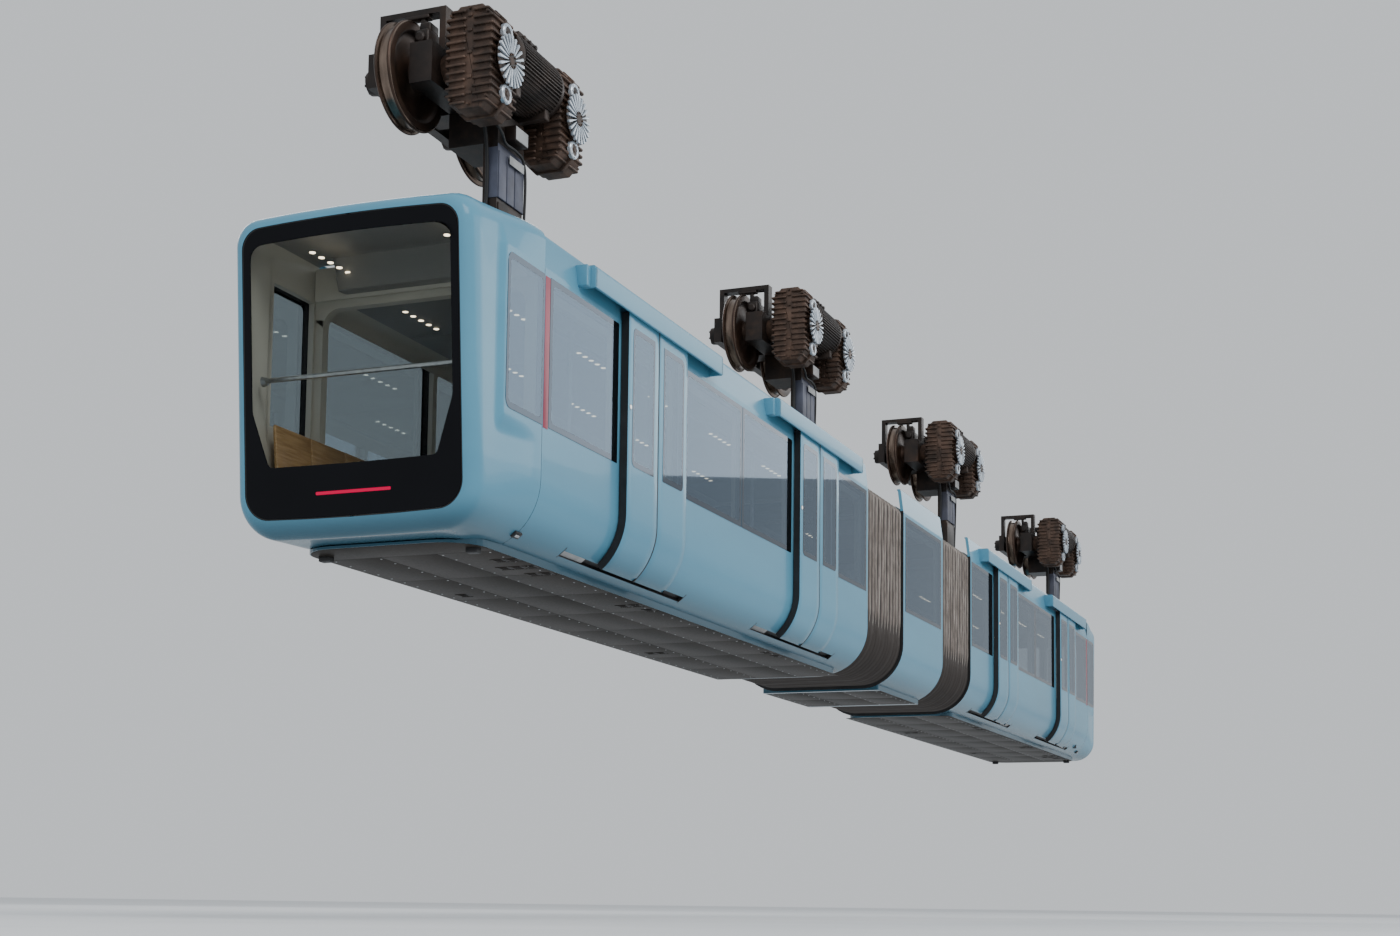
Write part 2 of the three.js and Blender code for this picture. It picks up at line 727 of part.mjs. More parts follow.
// Wheel with two flanges, its axle and the brake disc on the axle's outer end: radius and x pairs.
const treadHalf = 38;
const wheelHalf = 75;
const brakeDisc = { radius: 210, x0: 890, x1: 925 };
const wheelProfile = [
  [0, -290],
  [axleRadius, -290],
  [axleRadius, -wheelHalf],
  [flangeRadius - 6, -wheelHalf],
  [flangeRadius, -wheelHalf + 14],
  [wheelRadius, -treadHalf],
  [wheelRadius, treadHalf],
  [flangeRadius, wheelHalf - 14],
  [flangeRadius - 6, wheelHalf],
  [axleRadius, wheelHalf],
  [axleRadius, brakeDisc.x0],
  [brakeDisc.radius, brakeDisc.x0],
  [brakeDisc.radius, brakeDisc.x1],
  [0, brakeDisc.x1],
];

function wheelset(y) {
  return turned(wheelProfile, 22).translate([0, y, axleZ]);
}

// The car is put together: the two end sections, the middle one, bellows, doors and bogies.
const ends = [
  { name: "rear", end: -1 },
  { name: "front", end: 1 },
];

for (const { name, end } of ends) {
  const isCab = end > 0;
  const shell = endSectionShell(end);
  add(`${name}_body_shell`, besideJoint(shell, 1), bluePaint);
  add(`${name}_door_side_wall`, besideJoint(shell, -1), bluePaint);
  add(`${name}_underfloor_tray`, endTray(end), trayPaint);
  add(`${name}_end_module`, endModule(end), bluePaint);
  add(`${name}_end_window`, facePlate(end, 0, glassInset.from, glassInset.to), blackGlass);
  add(`${name}_windows_door_side`, windowBandOf(end, 1, doorSideWindows), blackGlass);
  add(`${name}_windows_plain_side`, windowBandOf(end, -1, plainSideWindows), blackGlass);
  add(`${name}_seats_plain_side`, plainSideSeats(end, isCab ? 1520 : 250, 2280), seatShell);
  add(`${name}_seats_door_side`, doorSideSeats(end), seatShell);
  add(`${name}_handrails`, handrails(end), railSteel);
  doorCentres.forEach((distance, index) => {
    const y = place(end, distance);
    const door = `${name}_door_${index + 1}`;
    add(`${door}_leaf_a`, doorLeaf(y - leafSpan, y - leafSeam / 2), bluePaint);
    add(`${door}_leaf_b`, doorLeaf(y + leafSeam / 2, y + leafSpan), bluePaint);
  });
  bogieCentres.forEach((distance, index) => {
    const y = place(end, distance);
    const bogie = `${name}_bogie_${index + 1}`;
    add(`${bogie}_frame`, bogieFrame(y), castIron);
    add(`${bogie}_drive_unit`, driveUnit(y), gearboxIron);
    add(`${bogie}_wheel_a`, wheelset(y - halfWheelbase), wheelSteel);
    add(`${bogie}_wheel_b`, wheelset(y + halfWheelbase), wheelSteel);
  });
}
add("rear_window_bar", barBehindWindow(-1), railSteel);
add("cab_partition", cabPartition(1), cabPlastic);
add("driver_desk", driverDesk(1), cabPlastic);
add("driver_seat", driverSeat(1), cabPlastic);

const middleHalf = carLength / 2 - sectionLength - bellowsLength;
const middleWindow = [-middleHalf + 115, middleHalf - 115];
const middleCarrier = [-middleHalf + 60, middleHalf - 60];

function middleShell() {
  let shell = bodyTube(-middleHalf, middleHalf);
  for (const sign of [1, -1]) {
    shell = cut(shell, ...windowCutters(sign, ...middleWindow));
    shell = cut(shell, carrierGroove(sign, ...middleCarrier));
  }
  return shell;
}

add("middle_body_shell", middleShell(), bluePaint);
add("middle_underfloor_tray", tray(-middleHalf + 15, middleHalf - 15, 20), trayPaint);
add("middle_window_door_side", windowBand(1, [middleWindow], ...middleCarrier), blackGlass);
add("middle_window_plain_side", windowBand(-1, [middleWindow], ...middleCarrier), blackGlass);
add("rear_bellows", bellows(-middleHalf - bellowsLength, -middleHalf), bellowsRubber);
add("front_bellows", bellows(middleHalf, middleHalf + bellowsLength), bellowsRubber);

export default car;
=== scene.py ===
from math import cos, radians, sin

import bpy
import numpy as np
from mathutils import Matrix, Vector


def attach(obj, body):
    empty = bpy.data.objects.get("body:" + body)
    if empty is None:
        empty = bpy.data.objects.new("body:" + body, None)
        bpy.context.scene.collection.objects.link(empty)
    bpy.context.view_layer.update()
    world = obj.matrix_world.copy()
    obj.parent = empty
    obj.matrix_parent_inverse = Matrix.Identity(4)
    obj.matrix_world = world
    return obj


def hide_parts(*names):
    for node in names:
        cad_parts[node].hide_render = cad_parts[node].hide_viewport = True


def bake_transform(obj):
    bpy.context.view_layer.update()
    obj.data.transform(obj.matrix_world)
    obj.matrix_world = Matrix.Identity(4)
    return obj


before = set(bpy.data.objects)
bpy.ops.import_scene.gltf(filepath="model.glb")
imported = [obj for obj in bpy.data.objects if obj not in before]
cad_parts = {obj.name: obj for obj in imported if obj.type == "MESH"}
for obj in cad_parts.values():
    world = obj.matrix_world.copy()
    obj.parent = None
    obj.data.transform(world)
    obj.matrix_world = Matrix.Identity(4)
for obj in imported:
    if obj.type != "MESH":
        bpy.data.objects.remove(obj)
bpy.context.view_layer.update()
print("frame loaded")

car = {"half": 12.03, "joint": 0.9525, "section": 9.56, "middleHalf": 0.95}
doorCentres = [3.06, 7.535]  # from the end of the car
bogieCentres = [1.273, 8.778]
ends = [("rear", -1), ("front", 1)]  # the lounge end lies at -Y, the cab end at +Y


# A shape is its points, groups of faces with equal corner counts, and one finish number a group.
def gridFaces(rows, cols, wrap=False, loop=False):
    # quads over a grid of points, row by row; wrap joins last column to first, loop last row to first
    index = np.arange(rows * cols).reshape(rows, cols)
    if wrap:
        index = np.hstack([index, index[:, :1]])
    if loop:
        index = np.vstack([index, index[:1]])
    quads = [index[:-1, :-1], index[1:, :-1], index[1:, 1:], index[:-1, 1:]]
    return np.stack(quads, -1).reshape(-1, 4)


def putTogether(*shapes):
    # several shapes as one, their face numbers counted on
    starts = np.cumsum([0] + [len(shape[0]) for shape in shapes])
    faces = [group + start for shape, start in zip(shapes, starts) for group in shape[1]]
    return np.vstack([shape[0] for shape in shapes]), faces, [t for s in shapes for t in s[2]]


def moved(shape, x=0.0, y=0.0, z=0.0):
    return shape[0] + [x, y, z], shape[1], shape[2]


def mirrored(shape, axis):
    # the shape on the other side of the middle, its faces still turned outwards
    points = shape[0].copy()
    points[:, axis] *= -1
    return points, [group[:, ::-1] for group in shape[1]], shape[2]


def finished(shape, tag):
    return shape[0], shape[1], [tag] * len(shape[1])


def atEnd(shape, end):
    # y in the shape is a distance from the car's end, and the shape is set at that end
    points = shape[0].copy()
    points[:, 1] = end * (car["half"] - points[:, 1])
    return points, [group[:, ::-1] if end > 0 else group for group in shape[1]], shape[2]


def around(shape, axis, centre, count, start=0.0):
    # copies turned about an axis through centre, one every 2 pi / count
    u, v = [(1, 2), (2, 0), (0, 1)][axis]
    turn = start + np.arange(count)[:, None] * 2 * np.pi / count
    local = shape[0] - centre
    points = np.repeat(local[None], count, 0)
    points[:, :, u] = local[:, u] * np.cos(turn) - local[:, v] * np.sin(turn)
    points[:, :, v] = local[:, u] * np.sin(turn) + local[:, v] * np.cos(turn)
    shift = np.arange(count)[:, None, None] * len(local)
    faces = [(group[None] + shift).reshape(-1, group.shape[1]) for group in shape[1]]
    return points.reshape(-1, 3) + centre, faces, shape[2]


def inLine(shape, shifts):
    # copies moved by each row of shifts
    shifts = np.asarray(shifts, float)
    points = (shape[0][None] + shifts[:, None]).reshape(-1, 3)
    shift = np.arange(len(shifts))[:, None, None] * len(shape[0])
    faces = [(group[None] + shift).reshape(-1, group.shape[1]) for group in shape[1]]
    return points, faces, shape[2]


def roundedOutline(corners, steps=5):
    # corners (a, b, radius), counter-clockwise; each becomes an arc that touches its two edges
    corners = np.asarray(corners, float)
    spot, radius = corners[:, :2], corners[:, 2]
    arriving = spot - np.roll(spot, 1, 0)
    arriving /= np.linalg.norm(arriving, axis=1)[:, None]
    leaving = np.roll(arriving, -1, 0)
    cross = arriving[:, 0] * leaving[:, 1] - arriving[:, 1] * leaving[:, 0]
    bend = np.arctan2(cross, (arriving * leaving).sum(1))
    side = np.sign(bend)[:, None] * np.stack([-arriving[:, 1], arriving[:, 0]], 1)
    first = spot - arriving * (radius * np.tan(np.abs(bend) / 2))[:, None]
    centre = first + side * radius[:, None]
    turn = bend[:, None] * np.linspace(0, 1, steps + 1)
    arm = (first - centre)[:, None, :]
    a = arm[..., 0] * np.cos(turn) - arm[..., 1] * np.sin(turn)
    b = arm[..., 0] * np.sin(turn) + arm[..., 1] * np.cos(turn)
    return (centre[:, None, :] + np.stack([a, b], -1)).reshape(-1, 2)


def rectangle(a0, a1, b0, b1, radius=0.004, steps=3):
    corners = [(a0, b0), (a1, b0), (a1, b1), (a0, b1)]
    return roundedOutline([(*corner, radius) for corner in corners], steps)


def drawnIn(outline, amount):
    # an outline moved inwards along the mitre of its edges
    edge = np.roll(outline, -1, 0) - outline
    edge = edge / np.maximum(np.linalg.norm(edge, axis=1), 1e-9)[:, None]
    normal = np.stack([edge[:, 1], -edge[:, 0]], 1)
    before = np.roll(normal, 1, 0)
    mitre = (normal + before) / np.maximum(1 + (normal * before).sum(1), 0.2)[:, None]
    return outline - amount * mitre


def slab(outline, axis, low, high, bevel=0.0, tag=0):
    # a closed outline carried along an axis from low to high, its rims quarter circles of radius bevel
    outline = np.asarray(outline, float)
    turn = np.linspace(0, np.pi / 2, 4) if bevel else np.array([np.pi / 2])
    rings = [drawnIn(outline, bevel * (1 - np.sin(t))) for t in turn]
    rings = rings + rings[::-1]
    inset = bevel * (1 - np.cos(turn))
    height = np.concatenate([low + inset, high - inset[::-1]])
    return stacked(rings, height, axis, [tag] * 3)


def stacked(rings, height, axis, tags):
    # outlines of equal size, one at each height along an axis, closed at both ends
    rings = np.stack(rings)
    height = np.broadcast_to(np.asarray(height)[:, None], rings.shape[:2])
    order = [(2, 0, 1), (0, 2, 1), (0, 1, 2)][axis]
    points = np.stack([rings[..., 0], rings[..., 1], height], -1)[..., order]
    count, size = rings.shape[:2]
    faces = [gridFaces(count, size, wrap=True)[:, ::-1]]
    faces += [np.arange(size)[None, ::-1], np.arange(size)[None] + (count - 1) * size]
    if axis == 1:
        faces = [group[:, ::-1] for group in faces]
    return points.reshape(-1, 3), faces, tags


def block(x, y, z, bevel=0.004, tag=0):
    # a box between two corners with rounded edges
    return slab(rectangle(*x, *y, bevel), 2, *z, bevel, tag)


def ringFrames(path, closed=False):
    # two directions square to the path at each of its points: side = along x guide, up = side x along
    along = np.roll(path, -1, 0) - np.roll(path, 1, 0) if closed else np.gradient(path, axis=0)
    along = along / np.linalg.norm(along, axis=1)[:, None]
    guide = np.array([0, 0, 1.0]) if np.abs(along[:, 2]).max() < 0.9 else np.array([1.0, 0, 0])
    side = np.cross(along, guide)
    side = side / np.linalg.norm(side, axis=1)[:, None]
    return side, np.cross(side, along)


def tube(path, radius, sides=12, tag=0, closed=False):
    # a circle carried along a path: point + radius * (cos t * side + sin t * up), with flat ends
    # unless the path is closed
    path = np.asarray(path, float)
    side, up = ringFrames(path, closed)
    turn = np.linspace(0, 2 * np.pi, sides, endpoint=False)
    circle = np.cos(turn)[None, :, None] * side[:, None] + np.sin(turn)[None, :, None] * up[:, None]
    points = path[:, None] + radius * circle
    faces = [gridFaces(len(path), sides, wrap=True, loop=closed)]
    if not closed:
        last = (len(path) - 1) * sides
        faces += [np.arange(sides)[None], np.arange(sides)[None, ::-1] + last]
    return points.reshape(-1, 3), faces, [tag] * len(faces)


def turned(profile, axis, centre, sides=48, tag=0, loop=False):
    # a profile of (distance along the axis, radius) turned about it; loop closes the profile on itself
    profile = np.asarray(profile, float)
    turn = np.linspace(0, 2 * np.pi, sides, endpoint=False)
    along = np.broadcast_to(profile[:, :1], (len(profile), sides))
    u, v = profile[:, 1:] * np.cos(turn), profile[:, 1:] * np.sin(turn)
    points = np.stack([(along, v, u), (u, along, v), (v, u, along)][axis], -1) + centre
    faces = [gridFaces(len(profile), sides, wrap=True, loop=loop)]
    if not loop:
        faces += [np.arange(sides)[None], np.arange(sides)[None, ::-1] + (len(profile) - 1) * sides]
    return points.reshape(-1, 3), faces, [tag] * len(faces)


def wallShell(outer, inner, keep, tags=(0, 0, 0), wrap=False):
    # two surfaces over one grid, kept only in the cells of keep, with a rim wherever keep ends;
    # tags number the finishes of the outer face, the inner face and the rims
    rows, cols = outer.shape[:2]
    index = np.arange(rows * cols).reshape(rows, cols)
    if wrap:
        index = np.hstack([index, index[:, :1]])
    a, b, c, d = index[:-1, :-1], index[1:, :-1], index[1:, 1:], index[:-1, 1:]
    under = rows * cols
    front = np.stack([a, b, c, d], -1)[keep]
    back = np.stack([a, d, c, b], -1)[keep] + under
    sideways = np.pad(keep, ((0, 0), (1, 1)), mode="wrap" if wrap else "constant")
    endways = np.pad(keep, ((1, 1), (0, 0)))
    last = -1 if wrap else None
    before, after = sideways[:, :-1][:, :last], sideways[:, 1:][:, :last]
    p, q = index[:-1][:, :last], index[1:][:, :last]
    rims = [np.stack([q, p, p + under, q + under], -1)[after & ~before]]
    rims += [np.stack([p, q, q + under, p + under], -1)[before & ~after]]
    before, after = endways[:-1], endways[1:]
    p, q = index[:, :-1], index[:, 1:]
    rims += [np.stack([p, q, q + under, p + under], -1)[after & ~before]]
    rims += [np.stack([q, p, p + under, q + under], -1)[before & ~after]]
    points = np.vstack([outer.reshape(-1, 3), inner.reshape(-1, 3)])
    return points, [front, back, np.vstack(rims)], list(tags)


def resampled(outline, count):
    # a closed outline as count points at equal steps along it
    steps = np.hypot(*(np.roll(outline, -1, 0) - outline).T)
    place = np.concatenate([[0], np.cumsum(steps)])
    wanted = np.linspace(0, place[-1], count, endpoint=False)
    closed = np.vstack([outline, outline[:1]])
    return np.stack([np.interp(wanted, place, closed[:, k]) for k in (0, 1)], 1)


def ease(amount):
    # a smooth step from 0 to 1
    amount = np.clip(amount, 0, 1)
    return amount * amount * (3 - 2 * amount)


def makePiece(name, shape, finishes, body, replaced=(), smooth=35):
    # puts a shape into a mesh object that rides on a body; edges sharper than smooth degrees stay crisp
    points, faces, tags = shape
    faces, tags = zip(*[(group, tag) for group, tag in zip(faces, tags) if len(group)])
    sizes = np.concatenate([np.full(len(group), group.shape[1]) for group in faces])
    mesh = bpy.data.meshes.new(name)
    mesh.vertices.add(len(points))
    mesh.vertices.foreach_set("co", points.astype(np.float32).ravel())
    mesh.loops.add(int(sizes.sum()))
    mesh.loops.foreach_set("vertex_index", np.concatenate([group.ravel() for group in faces]))
    mesh.polygons.add(len(sizes))
    mesh.polygons.foreach_set("loop_start", np.cumsum(sizes) - sizes)
    numbers = np.concatenate([np.full(len(group), tag) for group, tag in zip(faces, tags)])
    mesh.polygons.foreach_set("material_index", numbers)
    mesh.update(calc_edges=True)
    mesh.shade_smooth()
    mesh.set_sharp_from_angle(angle=radians(smooth))
    piece = bpy.data.objects.new(name, mesh)
    bpy.context.scene.collection.objects.link(piece)
    for finish in finishes if isinstance(finishes, list) else [finishes]:
        mesh.materials.append(finish)
    if body:
        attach(piece, body)
    if replaced:
        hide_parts(*replaced)
    return piece


def makeSet(prefix, body, rows, end=0, smooth=35):
    # pieces on one body: each row is part, shape, finishes, slot and the nodes that it stands for
    for part, shape, finishes, slotName, *replaced in rows:
        placed = atEnd(shape, end) if end else shape
        makePiece(f"{prefix}_{part}", placed, finishes, body, replaced, smooth)


# Materials.
def toLinear(hexColour):
    # an sRGB hex colour as linear red, green, blue and 1
    channel = np.array([int(hexColour[i : i + 2], 16) for i in (1, 3, 5)]) / 255
    linear = np.where(channel <= 0.04045, channel / 12.92, ((channel + 0.055) / 1.055) ** 2.4)
    return (*linear.tolist(), 1.0)


def addNode(tree, kind, links=None, stops=None, **settings):
    # one node: settings are its properties, links give an input a value or another node's output,
    # stops are a colour ramp's places and colours
    made = tree.nodes.new(kind)
    for key, value in settings.items():
        setattr(made, key, value)
    for key, value in (links or {}).items():
        if isinstance(value, bpy.types.NodeSocket):
            tree.links.new(value, made.inputs[key])
        else:
            made.inputs[key].default_value = toLinear(value) if isinstance(value, str) else value
    for number, (place, shade) in enumerate(stops or []):
        ramp = made.color_ramp.elements
        stop = ramp[number] if number < len(ramp) else ramp.new(place)
        stop.position = place
        stop.color = toLinear(shade) if isinstance(shade, str) else (shade, shade, shade, 1)
    return made


def newMaterial(name):
    # a material, its node tree, its shader and its Object coordinates
    made = bpy.data.materials.new(name)
    made.use_nodes = True
    tree = made.node_tree
    return made, tree, tree.nodes["Principled BSDF"], addNode(tree, "ShaderNodeTexCoord").outputs["Object"]


def weathered(name, **look):
    # a surface whose colour wanders between two shades over a patch size, with soot or dust that
    # gathers in blotches, and a grain that shows in its roughness and its relief; sizes in metres
    made, tree, shader, place = newMaterial(name)
    stretch = {"Vector": place, "Scale": look.get("stretch", (1, 1, 1))}
    vector = addNode(tree, "ShaderNodeMapping", stretch).outputs["Vector"]
    wander = {"Vector": vector, "Scale": 1 / look["patch"], "Detail": 5.0}
    patches = addNode(tree, "ShaderNodeTexNoise", wander)
    tone = addNode(
        tree,
        "ShaderNodeValToRGB",
        {"Fac": patches.outputs["Fac"]},
        stops=[(0.35, look["dark"]), (0.65, look["light"])],
    )
    colour = tone.outputs["Color"]
    if "dirt" in look:
        blotch = addNode(
            tree,
            "ShaderNodeTexNoise",
            {"Vector": vector, "Scale": 0.35 / look["patch"], "Detail": 8.0, "Roughness": 0.65},
        )
        much = addNode(
            tree,
            "ShaderNodeValToRGB",
            {"Fac": blotch.outputs["Fac"]},
            stops=[(look.get("dirtFrom", 0.5), 0.0), (look.get("dirtTo", 0.72), look.get("dirtMost", 0.8))],
        )
        soiled = {0: much.outputs["Color"], 6: colour, 7: look["dirt"]}
        colour = addNode(tree, "ShaderNodeMix", soiled, data_type="RGBA").outputs[2]
    if "film" in look:
        # painted shade of the lower curve together with road film, darkening downwards between two heights
        height = addNode(tree, "ShaderNodeSeparateXYZ", {"Vector": place}).outputs["Z"]
        start, full = look["filmHeights"]
        ends = {"Value": height, "From Min": start, "From Max": full, "To Max": look["filmMost"]}
        much = addNode(tree, "ShaderNodeMapRange", ends, interpolation_type="SMOOTHSTEP").outputs["Result"]
        shadedAndFilmed = {0: much, 6: colour, 7: look["film"]}
        colour = addNode(tree, "ShaderNodeMix", shadedAndFilmed, data_type="RGBA").outputs[2]
    tree.links.new(colour, shader.inputs["Base Color"])
    fine = {"Vector": vector, "Scale": 1 / look["grain"], "Detail": 3.0}
    grain = addNode(tree, "ShaderNodeTexNoise", fine)
    gloss = addNode(
        tree,
        "ShaderNodeMapRange",
        {"Value": grain.outputs["Fac"], "To Min": look["rough"][0], "To Max": look["rough"][1]},
    )
    tree.links.new(gloss.outputs["Result"], shader.inputs["Roughness"])
    relief = addNode(
        tree,
        "ShaderNodeBump",
        {"Height": grain.outputs["Fac"], "Strength": look.get("strength", 0.3), "Distance": look["relief"]},
    )
    tree.links.new(relief.outputs["Normal"], shader.inputs["Normal"])
    shader.inputs["Metallic"].default_value = look.get("metal", 0.0)
    shader.inputs["Coat Weight"].default_value = look.get("coat", 0.0)
    shader.inputs["Coat Roughness"].default_value = look.get("coatRough", 0.05)
    if "ior" in look:
        shader.inputs["IOR"].default_value = look["ior"]
    return made


# Two-pack polyurethane enamel over aluminium: clear gloss, a hint of orange peel, and low down painted shade
# of the lower curve with road film.
bodyPaint = weathered(
    "polyurethaneEnamel", light="#609BB5", dark="#5891AB", patch=1.6, dirt="#5A7C8C", dirtFrom=0.55,
    dirtTo=0.85, dirtMost=0.5, film="#24363F", filmHeights=(-3.12, -3.45), filmMost=0.78,
    stretch=(1, 0.35, 1.6), grain=0.012, rough=(0.2, 0.3), relief=0.0006, strength=0.05, coat=0.2,
    coatRough=0.04, ior=1.22,
)

# EPDM rubber: near black, matt, dusted grey.
sealRubber = weathered(
    "epdmRubber", light="#1A1B1D", dark="#0D0E10", patch=0.25, dirt="#3A3937", dirtMost=0.4,
    grain=0.004, rough=(0.45, 0.65), relief=0.0004, ior=1.5,
)

# Ceramic frit fired onto glass: deep blue-black under a polished surface.
glassFrit = weathered(
    "ceramicFrit", light="#07080E", dark="#04050A", patch=0.8, grain=0.3, rough=(0.03, 0.07),
    relief=0.0002, strength=0.02, ior=1.24,
)

# Coated fabric of the bellows, a grey-brown weave: painted shade deepens into the valleys through an
# attribute of each point's depth, and painted shade with soot darkens the bottom.
bellowsFabric = weathered(
    "coatedFabric", light="#A5968F", dark="#7C706A", patch=0.12, film="#1F1917",
    filmHeights=(-2.6, -3.05), filmMost=0.75, grain=0.005, rough=(0.42, 0.6), relief=0.0006,
)
# painted shade: a point attribute darkens the fabric from crest to valley and on the lower curve
tree = bellowsFabric.node_tree
shader = tree.nodes["Principled BSDF"]
unshadedFabric = shader.inputs["Base Color"].links[0].from_socket
depth = addNode(tree, "ShaderNodeAttribute", attribute_name="grime")
foldShadeRamp = addNode(
    tree, "ShaderNodeValToRGB", {"Fac": depth.outputs["Fac"]}, stops=[(0.0, 0.0), (0.32, 0.97)]
)
foldShaded = {0: foldShadeRamp.outputs["Color"], 6: unshadedFabric, 7: "#2B231E"}
foldShaded = addNode(tree, "ShaderNodeMix", foldShaded, data_type="RGBA").outputs[2]
tree.links.new(foldShaded, shader.inputs["Base Color"])

# Aluminium clamp strip along each outer fold.
foldTrim = weathered(
    "anodisedAluminium", light="#B9B4AC", dark="#8C857C", patch=0.3, grain=0.004, rough=(0.3, 0.45),
    relief=0.0003, metal=0.9,
)

# Powder-coated steel tray under the floor, streaked along the car and dusty; its grey-beige darkened almost
# to black as painted shade of the underside.
trayCoatInShade = weathered(
    "powderCoatedTray", light="#373330", dark="#292623", patch=0.5, dirt="#1E1C1A", dirtFrom=0.45,
    dirtTo=0.7, dirtMost=0.7, stretch=(1, 0.15, 1), grain=0.008, rough=(0.3, 0.5), relief=0.0005,
    ior=1.08,
)

# Painted roof sheet: pale grey with soot and water marks.
roofSheet = weathered(
    "paintedRoofSheet", light="#A9AFB0", dark="#8E9596", patch=0.7, dirt="#4E4C48", dirtFrom=0.42,
    dirtTo=0.7, dirtMost=0.75, grain=0.01, rough=(0.5, 0.75), relief=0.0008,
)

# Grey cast iron under years of grease: almost black brown, wet in places.
bogieIron = weathered(
    "greasyCastIron", light="#2A201B", dark="#15100E", patch=0.16, dirt="#4B3526", dirtFrom=0.5,
    dirtTo=0.7, dirtMost=0.7, grain=0.006, rough=(0.3, 0.62), relief=0.002, strength=0.6, metal=0.35,
)

# Sand-cast gearbox, painted brown once: dry brake dust on the ribs, oil between them.
gearboxIron = weathered(
    "oilyCasting", light="#5E483B", dark="#3C2D24", patch=0.12, dirt="#2A201A", dirtFrom=0.47,
    dirtTo=0.66, dirtMost=0.8, grain=0.007, rough=(0.42, 0.7), relief=0.0025, strength=0.6, metal=0.3,
)

# The motor's finned casing: dark paint that has gone chalky on the fin tips.
motorIron = weathered(
    "finnedCasting", light="#40352F", dark="#241D1A", patch=0.2, dirt="#1A1411", dirtFrom=0.48,
    dirtTo=0.7, dirtMost=0.7, grain=0.005, rough=(0.4, 0.62), relief=0.0012, metal=0.35,
)

# Forged wheel steel: brown with rust and grease away from the tread.
wheelSteel = weathered(
    "forgedSteel", light="#4C382D", dark="#2F231C", patch=0.2, dirt="#22190F", dirtMost=0.7,
    grain=0.005, rough=(0.35, 0.55), relief=0.001, metal=0.6,
)

# The same steel rolled bright along the tread.
treadSteel = weathered(
    "rolledTread", light="#86766A", dark="#574940", patch=0.3, stretch=(6, 1, 1), grain=0.006,
    rough=(0.16, 0.3), relief=0.0003, metal=0.95,
)

# Machined brake disc vanes: pale bright steel with a cool tint.
discSteel = weathered(
    "machinedSteel", light="#D6DEE6", dark="#AEB8C2", patch=0.08, dirt="#6B6259", dirtFrom=0.55,
    dirtTo=0.75, dirtMost=0.6, grain=0.003, rough=(0.28, 0.42), relief=0.0003, metal=0.55,
)

# Blue-grey enamel on the hanger's cover, chalky and scratched.
hangerEnamel = weathered(
    "chalkyEnamel", light="#535768", dark="#424553", patch=0.2, dirt="#33302F", dirtFrom=0.5,
    dirtTo=0.75, dirtMost=0.7, grain=0.006, rough=(0.45, 0.65), relief=0.0006,
)

# Pale grey powder coat on small boxes, and the blank plates.
boxCoat = weathered(
    "greyPowderCoat", light="#A5A6A6", dark="#8B8C8D", patch=0.2, dirt="#5A5754", dirtMost=0.6,
    grain=0.004, rough=(0.4, 0.55), relief=0.0004,
)

# Glass-fibre lining panels: warm off-white, satin gel coat.
liningPanel = weathered(
    "gelCoat", light="#CFCABF", dark="#C4BEB2", patch=0.8, grain=0.01, rough=(0.35, 0.5), relief=0.0003,
    strength=0.1,
)

# Grey ceiling panels of the same make.
ceilingPanel = weathered(
    "greyGelCoat", light="#8F8E8C", dark="#858482", patch=0.8, grain=0.01, rough=(0.4, 0.55),
    relief=0.0003, strength=0.1,
)

# Rubber flooring with fine flecks.
floorRubber = weathered(
    "fleckedFlooring", light="#4A4B4E", dark="#38393C", patch=0.03, grain=0.004, rough=(0.5, 0.7),
    relief=0.0005,
)

# Moulded beech veneer: warm, the grain drawn out along each seat's width.
veneer = {
    "light": "#C39C6B",
    "dark": "#A27C4F",
    "patch": 0.02,
    "grain": 0.004,
    "rough": (0.32, 0.45),
    "relief": 0.0002,
    "coat": 0.3,
}
seatVeneer = weathered("beechVeneer", **veneer, stretch=(1, 0.08, 1))
crossVeneer = weathered("beechVeneerAcross", **veneer, stretch=(0.08, 1, 1))

# Satin stainless tube, ground lengthwise.
handrailSteel = weathered(
    "satinStainless", light="#BDBFC1", dark="#A2A5A8", patch=0.05, grain=0.002, rough=(0.25, 0.38),
    relief=0.0001, metal=1.0,
)

# Dark moulded ABS of the cab desk and partition.
cabPlastic = weathered(
    "grainedAbs", light="#34373C", dark="#2A2D31", patch=0.3, grain=0.002, rough=(0.45, 0.6),
    relief=0.0004,
)
print("materials made")

# The body's cross-section, from the left parapet's top round the underside to the right one's.
body = {
    "halfWidth": 1.1,
    "arcRadius": 0.54,
    "arcZ": -2.875,
    "bottomZ": -3.415,
    "footZ": -1.2,
    "topZ": -0.9,
    "lean": 0.038,
    "thickness": 0.04,
    "sill": -2.425,
    "lintel": -1.266,
    "head": -1.205,
}
slotDegrees = (-57, -50)  # where the slot for the leaves' feet starts and ends on the lower curve
arcDegrees = np.array([-90, -82, -74, -66, *slotDegrees, -43, -36, -29, -22, -15, -8, 0.0])


def onArc(radius, degrees):
    # points of the lower curve on the door side, radius from its centre
    turn = np.radians(degrees)
    x = body["halfWidth"] - body["arcRadius"] + radius * np.cos(turn)
    return np.stack([x, body["arcZ"] + radius * np.sin(turn)], -1)


def mirrorOutline(right):
    # the right half's points, preceded by their mirror image
    left = right[::-1] * [-1, 1]
    return np.vstack([left[:-1] if abs(right[0, 0]) < 1e-9 else left, right])


